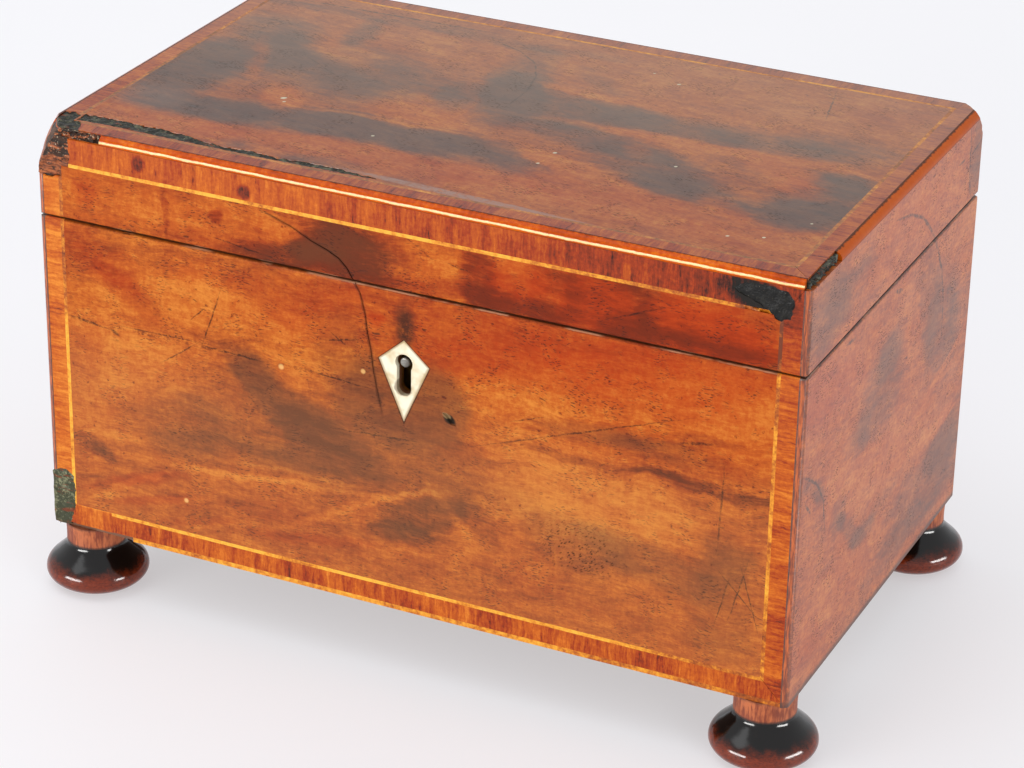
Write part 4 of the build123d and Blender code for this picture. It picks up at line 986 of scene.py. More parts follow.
def raw_wood(name):
    """Torn wood at a broken corner: layered fibres, black in the hollows, pale where it is fresh."""
    finish = Finish(name)
    fibre = finish.noise(finish.along(finish.place, (6.0, 1.0, 1.0)), 0.9, 4.0, 0.7)
    lump = finish.noise(finish.along(finish.place, (1.8, 1.0, 1.0)), 2.6, 3.0, 0.6)
    fine = finish.noise(finish.place, 0.8, 3.0, 0.7)
    rise = finish.ease(finish.z, 139, 144)
    base = finish.mix((0.66, 0.37, 0.21), (0.33, 0.16, 0.09), finish.ease(fibre, 0.38, 0.62))
    black = finish.ease(lump + (fibre - 0.5) * 0.6 + rise * 0.10, 0.50, 0.60)
    base = finish.mix(base, (0.10, 0.09, 0.07), black * 0.9)
    fresh = finish.ease(fine + rise * 0.08, 0.66, 0.74)
    base = finish.mix(base, (0.84, 0.76, 0.64), fresh * 0.8)
    return finish.done(base, 0.62 + (lump - 0.5) * 0.3, fibre + lump, 0.5, 0.0003, Specular_IOR_Level=0.2)


def ebonised(name):
    """Feet: black polish on the slope of the bun, rubbed to red wood on the rim; bare collar."""
    woods = bpy.context.scene.caddy_woods
    finish = Finish(name)
    turning = finish.noise(finish.along(finish.place, (1, 1, 0.2)), 0.9, 3.0, 0.6)
    upright = finish.noise(finish.along(finish.place, (1, 1, 7)), 0.8, 4.0, 0.65)
    slow = finish.noise(finish.place, 7.0, 3.0)
    grime = finish.noise(finish.place, 1.6, 4.0, 0.7)
    z = finish.z + (slow - 0.5) * 4.5 + (grime - 0.5) * 2.0
    collar = finish.ease(finish.z, COLLAR_Z, COLLAR_Z + 0.2)
    rubbed = finish.ease(z, *FOOT_RUBBED)
    rings = finish.ease(turning + (grime - 0.5) * 0.6, 0.35, 0.75)
    red = finish.mix(woods.foot_red, (0.30, 0.09, 0.035), rings)
    streaks = finish.ease(upright + (slow - 0.5) * 0.8, 0.36, 0.66)
    bare = finish.mix((0.74, 0.40, 0.22), (0.50, 0.21, 0.11), streaks)
    joint = finish.ease(finish.z + (grime - 0.5) * 0.8, *FOOT_JOINT)
    bare = finish.mix(bare, (0.15, 0.07, 0.04), joint * 0.85)
    shadow = finish.ease(finish.z + (grime - 0.5) * 1.6, *FOOT_SHADOW)
    bare = finish.mix(bare, (0.17, 0.08, 0.05), shadow * 0.6)
    base = finish.mix(woods.ebony, red, rubbed * 0.95)
    scuff = finish.ease(grime, 0.62, 0.72)
    base = finish.mix(base, (0.20, 0.13, 0.10), scuff * 0.3)
    base = finish.mix(base, bare, collar)
    roughness = 0.12 + (slow - 0.5) * 0.06 + scuff * 0.10 + collar * 0.40
    return finish.done(base, roughness, turning * 0.4 - grime * 0.4, 0.14, 0.0002, Specular_IOR_Level=0.4)


# ---------------------------------------------------------------- fittings


def bone(name, ring=True):
    """Yellowed bone; ring adds the rust of the keyhole and the dirty rim of the kite."""
    fittings = bpy.context.scene.caddy_fittings
    finish = Finish(name)
    fibre = finish.noise(finish.along(finish.place, (1, 1, 7)), 0.5, 3.0, 0.6)
    slow = finish.noise(finish.place, 5.0, 3.0)
    base = finish.mix(fittings.bone, (0.80, 0.70, 0.50), finish.ease(slow, 0.42, 0.75))
    base = finish.mix(base, (0.70, 0.58, 0.38), finish.ease(fibre, 0.58, 0.80) * 0.35)
    if ring:
        face = finish.face(finish.x, finish.z)
        rust = finish.patch(finish.warp(face, 1.6, (0.5, 0.5, 0)), (-0.3, 92.5), (2.75, 2.5), 0, 0.12)
        base = finish.mix(base, (0.40, 0.28, 0.13), rust * 0.7)
        rim = finish.ease(kite_reach(finish), 0.86, 1.0)
        base = finish.mix(base, (0.62, 0.48, 0.26), rim * 0.8)
    roughness = 0.34 + (slow - 0.5) * 0.2
    return finish.done(base, roughness, fibre, 0.3, 0.0001, Coat_Weight=0.2, Coat_Roughness=0.2)


def metal(name, rgb, tarnish, rough=0.36, stain=0.5):
    """Aged metal: fine file marks, tarnish in clouds, and spots."""
    finish = Finish(name)
    file_marks = finish.noise(finish.along(finish.place, (1, 12, 1)), 0.3, 3.0, 0.6)
    cloud = finish.noise(finish.place, 4.0, 4.0, 0.65)
    spot = finish.ease(finish.noise(finish.place, 0.9, 3.0, 0.7), 0.60, 0.70)
    dull = (finish.ease(cloud, 0.38, 0.66) * stain + spot * 0.4).least(1.0)
    base = finish.mix(rgb, tarnish, dull)
    roughness = rough + dull * 0.3 + (file_marks - 0.5) * 0.12
    return finish.done(base, roughness, file_marks - spot, 0.3, 0.00008, Metallic=1.0 - dull * 0.45)


def foil(name):
    """Lead foil pasted over the trays, creased and dulled."""
    fittings = bpy.context.scene.caddy_fittings
    finish = Finish(name)
    place = finish.warp(finish.place, 9.0, (3, 3, 3))
    crease = finish.node("TexVoronoi", {"feature": "DISTANCE_TO_EDGE"}, {"Vector": place, "Scale": 0.11})
    fine = finish.noise(finish.place, 2.4, 4.0, 0.6)
    fold = finish.ease(crease, 0.0, 0.05)
    base = finish.mix((0.30, 0.29, 0.27), fittings.foil, fold * 0.6 + fine * 0.4)
    stain = finish.ease(finish.noise(place, 14.0, 3.0), 0.52, 0.72)
    base = finish.mix(base, (0.36, 0.25, 0.15), stain * 0.6)
    return finish.done(base, 0.42 + (fine - 0.5) * 0.3, fold * 0.8 + fine * 0.7, 0.6, 0.0004, Metallic=0.8)


def paper(name):
    """Old lining paper: fibres, foxing and a darkened edge."""
    fittings = bpy.context.scene.caddy_fittings
    finish = Finish(name)
    fibre = finish.noise(finish.place, 0.5, 4.0, 0.7)
    slow = finish.noise(finish.place, 26.0, 4.0)
    fox = finish.ease(finish.noise(finish.place, 3.2, 3.0, 0.6), 0.64, 0.72)
    edge = finish.ease(abs(finish.x), *PAPER_SIDE).most(finish.ease(abs(finish.y), *PAPER_END))
    base = finish.mix(fittings.paper, (0.44, 0.33, 0.22), finish.ease(slow, 0.36, 0.7) * 0.7)
    base = finish.mix(base, (0.34, 0.23, 0.14), (edge * 0.7).most(fox * 0.6))
    return finish.done(base, 0.85 + (fibre - 0.5) * 0.1, fibre, 0.3, 0.0001)


# ---------------------------------------------------------------- geometry

SAME_POINT = 1e-6
CORNER_STEPS = 14


def link(piece):
    """Puts an object in the scene."""
    bpy.context.scene.collection.objects.link(piece)
    return piece


def add_group_input(tree, name, kind, default=None):
    """Adds a named input to a tree and gives its identifier."""
    socket = tree.interface.new_socket(name=name, in_out="INPUT", socket_type="NodeSocket" + kind)
    if default is not None:
        socket.default_value = default
    return socket.identifier


def slotted_screws():
    """A tree that puts a slotted countersunk screw on every point, each turned by its own amount."""
    tree = bpy.data.node_groups.new("slotted_screws", "GeometryNodeTree")
    ids = {"Geometry": add_group_input(tree, "Geometry", "Geometry")}
    for name, default in (
        ("Head Radius", 1.9 * MM),
        ("Head Height", 0.9 * MM),
        ("Shank Radius", 1.0 * MM),
        ("Length", 6.5 * MM),
        ("Slot Width", 0.5 * MM),
        ("Slot Depth", 0.5 * MM),
    ):
        ids[name] = add_group_input(tree, name, "Float", default)
    ids["Axis Turn"] = add_group_input(tree, "Axis Turn", "Vector", (0.0, 0.0, 0.0))
    ids["Seed"] = add_group_input(tree, "Seed", "Int", 7)
    ids["Material"] = add_group_input(tree, "Material", "Material")
    tree.interface.new_socket(name="Geometry", in_out="OUTPUT", socket_type="NodeSocketGeometry")
    source = tree.nodes.new("NodeGroupInput")
    target = tree.nodes.new("NodeGroupOutput")

    def feed(socket, value):
        if isinstance(value, bpy.types.NodeSocket):
            tree.links.new(value, socket)
        else:
            socket.default_value = value

    def make(kind, settings=None, **inputs):
        node = tree.nodes.new(kind)
        for key, value in (settings or {}).items():
            setattr(node, key, value)
        for key, value in inputs.items():
            feed(node.inputs[key.replace("_", " ")], value)
        return node

    def maths(operation, first, second):
        node = tree.nodes.new("ShaderNodeMath")
        node.operation = operation
        feed(node.inputs[0], first)
        feed(node.inputs[1], second)
        return node.outputs[0]

    given = source.outputs
    head = make(
        "GeometryNodeMeshCone",
        Vertices=28,
        Side_Segments=1,
        Radius_Top=given["Head Radius"],
        Radius_Bottom=given["Shank Radius"],
        Depth=given["Head Height"],
    )
    drop = make("ShaderNodeCombineXYZ", Z=maths("MULTIPLY", given["Head Height"], -1.0))
    move, mesh = "GeometryNodeTransform", head.outputs["Mesh"]
    head_in_place = make(move, Geometry=mesh, Translation=drop.outputs[0])
    slot_size = make(
        "ShaderNodeCombineXYZ",
        X=maths("MULTIPLY", given["Head Radius"], 2.4),
        Y=given["Slot Width"],
        Z=maths("MULTIPLY", given["Slot Depth"], 2.0),
    )
    slot = make("GeometryNodeMeshCube", Size=slot_size.outputs[0])
    cut = make("GeometryNodeMeshBoolean", {"operation": "DIFFERENCE", "solver": "EXACT"})
    tree.links.new(head_in_place.outputs[0], cut.inputs["Mesh 1"])
    tree.links.new(slot.outputs["Mesh"], cut.inputs["Mesh 2"])
    shank = make(
        "GeometryNodeMeshCone",
        Vertices=20,
        Side_Segments=6,
        Radius_Top=given["Shank Radius"],
        Radius_Bottom=maths("MULTIPLY", given["Shank Radius"], 0.35),
        Depth=maths("SUBTRACT", given["Length"], given["Head Height"]),
    )
    shank_drop = make("ShaderNodeCombineXYZ", Z=maths("MULTIPLY", given["Length"], -1.0))
    shank_in_place = make(move, Geometry=shank.outputs["Mesh"], Translation=shank_drop.outputs[0])
    screw = make("GeometryNodeJoinGeometry")
    tree.links.new(cut.outputs[0], screw.inputs[0])
    tree.links.new(shank_in_place.outputs[0], screw.inputs[0])
    spin = make("FunctionNodeRandomValue", {"data_type": "FLOAT"}, Seed=given["Seed"])
    spin.inputs[3].default_value = math.tau
    spin_turn = make("ShaderNodeCombineXYZ", Z=spin.outputs[1])
    points, turn = given["Geometry"], given["Axis Turn"]
    placed = make("GeometryNodeInstanceOnPoints", Points=points, Instance=screw.outputs[0], Rotation=turn)
    turns = spin_turn.outputs[0]
    placed = placed.outputs[0]
    spun = make("GeometryNodeRotateInstances", Instances=placed, Rotation=turns, Local_Space=True)
    real = make("GeometryNodeRealizeInstances", Geometry=spun.outputs[0])
    painted = make("GeometryNodeSetMaterial", Geometry=real.outputs[0], Material=given["Material"])
    tree.links.new(painted.outputs[0], target.inputs[0])
    return tree, ids


def islands(node):
    """Corner boxes of the separate solids of a CAD node, in metres."""
    shape = bmesh.new()
    shape.from_mesh(NODES[node].data)
    bmesh.ops.remove_doubles(shape, verts=shape.verts, dist=SAME_POINT)
    boxes, seen = [], set()
    for start in shape.verts:
        if start.index in seen:
            continue
        stack, members = [start], []
        seen.add(start.index)
        while stack:
            vertex = stack.pop()
            members.append(vertex.co.copy())
            for edge in vertex.link_edges:
                other = edge.other_vert(vertex)
                if other.index not in seen:
                    seen.add(other.index)
                    stack.append(other)
        low = Vector(min(c[i] for c in members) for i in range(3))
        high = Vector(max(c[i] for c in members) for i in range(3))
        boxes.append((low, high))
    shape.free()
    return boxes


def to_mesh(piece, name):
    """The evaluated shape as a plain mesh object, with no modifiers left."""
    evaluated = piece.evaluated_get(bpy.context.evaluated_depsgraph_get())
    mesh = bpy.data.meshes.new_from_object(evaluated)
    mesh.name = name
    bpy.data.objects.remove(piece)
    return link(bpy.data.objects.new(name, mesh))


def merged_copy(node, name):
    """A CAD node's mesh with its loose triangles joined."""
    mesh = NODES[node].data.copy()
    shape = bmesh.new()
    shape.from_mesh(mesh)
    bmesh.ops.remove_doubles(shape, verts=shape.verts, dist=SAME_POINT)
    flat = math.radians(0.2)
    bmesh.ops.dissolve_limit(shape, angle_limit=flat, verts=shape.verts, edges=shape.edges)
    shape.to_mesh(mesh)
    shape.free()
    mesh.name = name
    return link(bpy.data.objects.new(name, mesh))


def ragged(points, rng, step=0.9, jitter=0.35):
    """Divides a closed outline and shakes its points; in and out in millimetres."""
    outline = []
    points = list(points)
    for start, end in zip(points, points[1:] + points[:1]):
        start, end = Vector(start), Vector(end)
        count = max(1, round((end - start).length / step))
        for i in range(count):
            at = start.lerp(end, i / count)
            wobble = jitter if i else jitter * 0.4
            outline.append((at.x + rng.uniform(-wobble, wobble), at.y + rng.uniform(-wobble, wobble)))
    return outline


def slab(name, outline, face, back, place, step=0.0):
    """A closed slab over an outline; face(u, v) and back give its depth, place makes the point."""
    points = [Vector(at) for at in outline]
    if step:
        low = [min(at[i] for at in outline) for i in (0, 1)]
        high = [max(at[i] for at in outline) for i in (0, 1)]
        across, up = (int((high[i] - low[i]) / step) for i in (0, 1))
        for i in range(1, across + 1):
            for j in range(1, up + 1):
                shift = 0.5 if j % 2 else 0.0
                points.append(Vector((low[0] + (i - shift) * step, low[1] + (j - 0.4) * step)))
    flat, _, faces, *_ = geometry.delaunay_2d_cdt(points, [], [list(range(len(outline)))], 1, 1e-4)
    shape = bmesh.new()
    used = sorted({i for corners in faces for i in corners})
    top = {i: shape.verts.new(place(flat[i].x, flat[i].y, face(flat[i].x, flat[i].y)) * MM) for i in used}
    low = {i: shape.verts.new(place(flat[i].x, flat[i].y, back) * MM) for i in used}
    edges = set()
    for corners in faces:
        shape.faces.new([top[i] for i in corners])
        shape.faces.new([low[i] for i in reversed(corners)])
        edges.update((corners[i], corners[(i + 1) % len(corners)]) for i in range(len(corners)))
    for i, j in edges:
        if (j, i) not in edges:
            shape.faces.new((top[j], top[i], low[i], low[j]))
    bmesh.ops.recalc_face_normals(shape, faces=shape.faces)
    mesh = bpy.data.meshes.new(name)
    shape.to_mesh(mesh)
    shape.free()
    mesh.shade_smooth()
    mesh.set_sharp_from_angle(angle=math.radians(50))
    return link(bpy.data.objects.new(name, mesh))


def rough_face(shallow, deep, lump=1.8, seed=0.0):
    """Depth of a broken surface between shallow and deep millimetres."""

    def depth(u, v):
        wave = noise.fractal(Vector((u / lump, v / lump, seed)), 0.7, 2.0, 4)
        return shallow + (deep - shallow) * min(1.0, max(0.0, 0.5 + wave * 0.8))

    return depth


def worn_corner(name, a, b, c, bulge, seed):
    """A closed block whose inner face is the rough face left when a corner breaks away."""
    a, b, c = (Vector(at) for at in (a, b, c))
    apex = Vector((math.copysign(126, a.x), math.copysign(80, a.y), 158 if b.z > a.z else 12))
    count = CORNER_STEPS
    normal = (b - a).cross(c - a).normalized()
    if normal.dot(apex - a) < 0:
        normal.negate()
    shape = bmesh.new()
    grid = {}
    for i in range(count + 1):
        for j in range(count + 1 - i):
            at = a + (b - a) * (i / count) + (c - a) * (j / count)
            inner = 27 * i * j * (count - i - j) / count**3
            lump = noise.fractal(at / 2.2 + Vector((seed, 0, 0)), 0.7, 2.0, 3)
            at = at + normal * inner * (bulge + lump * 0.5)
            grid[i, j] = shape.verts.new(at * MM)
    for i, j in grid:
        if (i + 1, j) in grid and (i, j + 1) in grid:
            shape.faces.new((grid[i, j], grid[i + 1, j], grid[i, j + 1]))
        if (i + 1, j) in grid and (i, j + 1) in grid and (i + 1, j + 1) in grid:
            shape.faces.new((grid[i + 1, j], grid[i + 1, j + 1], grid[i, j + 1]))
    tip = shape.verts.new(apex * MM)
    for edge in [edge for edge in shape.edges if len(edge.link_faces) == 1]:
        shape.faces.new((*edge.verts, tip))
    bmesh.ops.recalc_face_normals(shape, faces=shape.faces)
    mesh = bpy.data.meshes.new(name)
    shape.to_mesh(mesh)
    shape.free()
    return link(bpy.data.objects.new(name, mesh))


def take_out(piece, cutter):
    """Adds the cut of one closed cutter to a piece."""
    modifier = piece.modifiers.new("cut", "BOOLEAN")
    modifier.operation = "DIFFERENCE"
    modifier.solver = "EXACT"
    modifier.object = cutter


def cut_away(node, name, cutters):
    """A copy of a CAD node with the cutters taken out, dressed like the node."""
    material = NODES[node].material_slots[0].material
    piece = merged_copy(node, name)
    for cutter in cutters:
        take_out(piece, cutter)
    piece = to_mesh(piece, name)
    dress(material, piece)
    piece.data.shade_smooth()
    piece.data.set_sharp_from_angle(angle=math.radians(30))
    flatten = piece.modifiers.new("flatten", "WEIGHTED_NORMAL")
    flatten.keep_sharp = True
    return to_mesh(piece, name)


def on_front(u, v, depth):
    """The point depth millimetres behind the front's face."""
    return Vector((u, FRONT_Y + depth, v))


def on_top(u, v, depth):
    """The point depth millimetres below the lid's top."""
    return Vector((u, v, TOP_Z - depth))


# ---------------------------------------------------------------- operators


class CADDY_OT_veneers(bpy.types.Operator):
    """Figured mahogany on the front, the lid, the ends and the back"""

    bl_idname = "caddy.veneers"
    bl_label = "Figured veneers"

    def execute(self, context):
        front = mahogany(
            "figured_front",
            "xz",
            CASE_FRONT_MARKS,
            FRONT_SCRATCHES,
            stains=case_front_stains,
            depth=0.468,
            red=0.04,
        )
        dress(front, "front_veneer")
        lid = mahogany(
            "figured_lid_front",
            "xz",
            LID_FRONT_MARKS,
            LID_SCRATCHES,
            stains=lid_front_stains,
            depth=0.50,
            red=0.24,
        )
        dress(lid, "lid_front_veneer")
        # on the top the grey smoke of the clouds is partly painted sheen, the grey that reflected light lays
        # over dark wood, and partly bloom
        top = mahogany(
            "figured_top",
            "xy",
            TOP_MARKS,
            TOP_SCRATCHES,
            grain_turn=-8,
            stains=top_stains,
            depth=0.46,
            red=0.10,
            smoke=(0.31, 0.28, 0.265),
            fringe=1.1,
            figure=0.50,
            sheen=0.5,
            veil_end=2.1,
            film=0.8,
        )
        dress(top, "lid_top_veneer")
        end = mahogany(
            "end_veneer",
            "yz",
            END_MARKS,
            END_SCRATCHES,
            grain_turn=-10,
            stains=end_stains,
            red=0.12,
            smoke=(0.42, 0.27, 0.20),
            fringe=1.0,
            figure=0.30,
            sheen=0.7,
            veil_end=1.5,
            film=0.55,
        )
        dress(end, "right_end_veneer", "lid_right_veneer", "left_end_veneer", "lid_left_veneer")
        back = mahogany("back_veneer", "xz", BACK_MARKS, stains=back_stains, depth=0.5, fringe=0.7)
        dress(back, "back_veneer", "lid_back_veneer")
        return {"FINISHED"}


class CADDY_OT_bandings(bpy.types.Operator):
    """Crossbanding, pale lines and the rounded edging"""

    bl_idname = "caddy.bandings"
    bl_label = "Bandings and lines"

    def execute(self, context):
        def below(v):
            return FRONT_LOW.z - v

        def above(v):
            return v - LID_HIGH.z

        def beyond(v):
            return abs(v) - TOP_HIGH.y

        case_band = crossband("case_crossbanding", "xz", FRONT_HIGH.x, below, 0.06, case_band_wear)
        dress(case_band, "front_crossbanding")
        lid_band = crossband("lid_crossbanding", "xz", LID_HIGH.x, above, 0.0, lid_band_wear, contrast=0.72)
        dress(lid_band, "lid_front_crossbanding")
        top_band = crossband("top_crossbanding", "xy", TOP_HIGH.x, beyond, -0.08, top_band_wear, film=True)
        dress(top_band, "lid_top_crossbanding")
        dress(pale_line("case_boxwood", case_line_dirt), "front_lines")
        dress(pale_line("base_boxwood", base_line_dirt), "base_line")
        dress(pale_line("lid_boxwood", lid_line_dirt), "lid_front_lines")
        dress(pale_line("top_boxwood", top_line_dirt, film=0.3), "lid_top_lines")
        dress(stained_edging("stained_edging"), "lid_edging")
        return {"FINISHED"}


class CADDY_OT_boards(bpy.types.Operator):
    """Carcass boards of the case and the lid"""

    bl_idname = "caddy.boards"
    bl_label = "Carcass boards"

    def execute(self, context):
        woods = context.scene.caddy_woods
        board = plain_wood("carcass_wood", woods.carcass, (0.27, 0.14, 0.07))
        corners = ((-116, -68, 146, 9.0), (115, 68, 147, 7.0), (116, -69, 147.5, 4.0))
        lid_board = plain_wood("lid_carcass_wood", woods.carcass, (0.27, 0.14, 0.07), grime=corners)
        dress(board, "case_front", "case_back", "case_left_end", "case_right_end", "case_base")
        rails = ["lid_%s_rail" % side for side in ("front", "back", "left", "right")]
        dress(lid_board, "lid_top_board", *rails)
        return {"FINISHED"}


class CADDY_OT_feet(bpy.types.Operator):
    """Ebonised bun feet"""

    bl_idname = "caddy.feet"
    bl_label = "Feet"

    def execute(self, context):
        feet = ["foot_%s_%s" % (row, side) for row in ("front", "back") for side in ("left", "right")]
        dress(ebonised("ebonised_foot"), *feet)
        return {"FINISHED"}


class CADDY_OT_escutcheon(bpy.types.Operator):
    """Bone kite round the keyhole"""

    bl_idname = "caddy.escutcheon"
    bl_label = "Escutcheon"

    def execute(self, context):
        dress(bone("bone_kite"), "escutcheon")
        return {"FINISHED"}


class CADDY_OT_compartments(bpy.types.Operator):
    """Linings, foil trays, inner lids and knobs, and the paper in the lid"""

    bl_idname = "caddy.compartments"
    bl_label = "Compartments"

    def execute(self, context):
        lining = plain_wood("lining_wood", (0.46, 0.22, 0.11), (0.26, 0.11, 0.06), size=0.8, rough=0.5)
        dress(lining, "lining_front", "lining_back", "lining_left", "lining_right", "divider")
        dress(foil("tea_foil"), "left_foil_lining", "right_foil_lining")
        inner = plain_wood("inner_lid_wood", (0.60, 0.30, 0.13), (0.32, 0.12, 0.06), size=1.2, rough=0.36)
        dress(inner, "left_inner_lid", "right_inner_lid")
        dress(bone("bone_knob", ring=False), "left_knob", "right_knob")
        dress(paper("lining_paper"), "lid_lining_paper")
        return {"FINISHED"}


class CADDY_OT_metalwork(bpy.types.Operator):
    """Hinges, box lock and slotted screws"""

    bl_idname = "caddy.metalwork"
    bl_label = "Hinges, lock and screws"

    def execute(self, context):
        fittings = context.scene.caddy_fittings
        brass = metal("aged_brass", fittings.brass, (0.30, 0.20, 0.10))
        steel = metal("aged_steel", fittings.steel, (0.20, 0.15, 0.11), rough=0.32, stain=0.6)
        sides = ("left", "right")
        leaves = ["%s_hinge_%s_leaf" % (side, part) for part in ("case", "lid") for side in sides]
        dress(brass, *leaves, "hinge_pins", "lock_case", "lock_cap", "lock_bolt", "link_plate")
        dress(steel, "lock_spring", "lock_drill_pin")
        tree, ids = slotted_screws()
        sets = (
            ("hinge_case_screws", "case", brass, "brass", (0, 0, 0), 2, 1),
            ("hinge_lid_screws", "lid", brass, "brass", (math.pi, 0, 0), 2, 0),
            ("lock_screws", "case", steel, "steel", (-math.pi / 2, 0, 0), 1, 1),
            ("link_plate_screws", "lid", steel, "steel", (math.pi, 0, 0), 2, 0),
        )
        for number, (node, body, material, slot, turn, axis, end) in enumerate(sets):
            mesh = bpy.data.meshes.new(node + "_points")
            points = []
            for box in islands(node):
                middle = (box[0] + box[1]) / 2
                middle[axis] = box[end][axis]
                points.append(middle)
            mesh.from_pydata(points, [], [])
            maker = link(bpy.data.objects.new(node + "_maker", mesh))
            modifier = maker.modifiers.new("screws", "NODES")
            modifier.node_group = tree
            modifier[ids["Slot Width"]] = fittings.slot_width
            modifier[ids["Slot Depth"]] = fittings.slot_depth
            modifier[ids["Axis Turn"]] = turn
            modifier[ids["Seed"]] = fittings.screw_seed + number
            modifier[ids["Material"]] = material
            screws = to_mesh(maker, node + "_slotted")
            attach(screws, body)
            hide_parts(node)
        return {"FINISHED"}


# Missing places on the front and the top: outlines in millimetres on the face.
LID_CORNER = (
    (-119, 134.6), (-114, 134.0), (-109.6, 135.2), (-107.4, 138.0), (-106.8, 142.0), (-107.6, 147.2),
    (-119, 147.2),
)
CASE_CORNER = (
    (-119, 38.5), (-113, 40.2), (-110.2, 38.2), (-109.9, 33), (-110.4, 27), (-112, 21.6), (-119, 20.4),
)
RIGHT_STOPPING = (
    (96, 143.6), (100, 145.8), (106, 146.2), (111.6, 145.6), (113.6, 142.2), (112.6, 137.6),
    (109, 136.6), (106.5, 139), (103, 140.6), (99.5, 141.8),
)
TOP_STOPPING = (
    (-109.4, -57.0), (-100, -56.8), (-92, -57.2), (-84, -57.0), (-76, -57.8), (-70, -59.6),
    (-62, -60.4), (-54, -59.6), (-46, -60.6), (-38, -59.8), (-30, -59.4), (-22, -60.0), (-14, -61.2),
    (-13, -62.0), (-30, -62.4), (-50, -62.8), (-80, -62.4), (-100, -62.0), (-109.4, -62.6),
)
TOP_CORNER = (
    (-117, -70), (-104.5, -70), (-105.6, -66.4), (-107.6, -62.6), (-109.8, -59), (-113, -57.2),
    (-117, -58.4),
)
FRONT_CHANNEL = (
    (-116.5, 146.75), (-112, 146.7), (-104, 146.75), (-97.0, 146.75), (-97.2, 148.9), (-105, 149.0),
    (-112, 148.8), (-116.4, 148.6),
)
RIGHT_CHANNEL = ((-69.6, 146.8), (-60, 146.8), (-49.2, 146.8), (-49.4, 148.8), (-58, 148.9), (-69.4, 148.4))
REPLACED_BANDING = ((-110.1, 22.3), (-97.4, 22.3), (-97.4, 29.1), (-110.1, 29.1))
LINE_END = ((99.8, 138.0), (112.2, 137.9), (112.2, 139.3), (99.9, 139.3))
KITE_CHIP = ((12.0, 87.4), (13.4, 87.8), (15.4, 85.6), (16.4, 84.2), (14.6, 84.4), (13.4, 86.2))
# chips along the seam: their shape in shares, then the middle, length and height of each
CHIP_SHAPE = ((-1 / 2, -0.3), (1 / 2, -0.2), (1 / 2, 0.3), (0, 1), (-1 / 3, 0.6))
SEAM_CHIPS = ((-62, 5, 0.35), (-38, 4, 0.7), (-34, 2, 0.4), (34, 5, 0.4), (58, 6, 0.35), (88, 4, 0.5))
# broken corners of the lid and the foot of the case: three points of the break, how hollow it is
# and its seed
BREAKS = {
    "front_left": ((-118.8, -71.8, 132.5), (-118.8, -55, 150.2), (-107.5, -71.8, 150.2), 1.6, 1.0),
    "back_right": ((118.8, 71.6, 134.0), (118.8, 61.5, 150.2), (108.0, 71.6, 150.2), 1.6, 2.0),
    "front_right": ((118.7, -71.6, 142.5), (118.7, -65.5, 150.1), (113.5, -71.6, 150.1), 0.5, 3.0),
    "back_left": ((-118.7, 71.4, 143.0), (-118.7, 66, 150.1), (-113.5, 71.4, 150.1), 0.5, 4.0),
    "low_left": ((-118.7, -71.5, 25.5), (-118.7, -67.5, 20.6), (-114.5, -71.5, 20.6), 0.4, 5.0),
    "low_right": ((118.7, -71.5, 24.0), (118.7, -68.5, 20.6), (116.0, -71.5, 20.6), 0.3, 6.0),
}


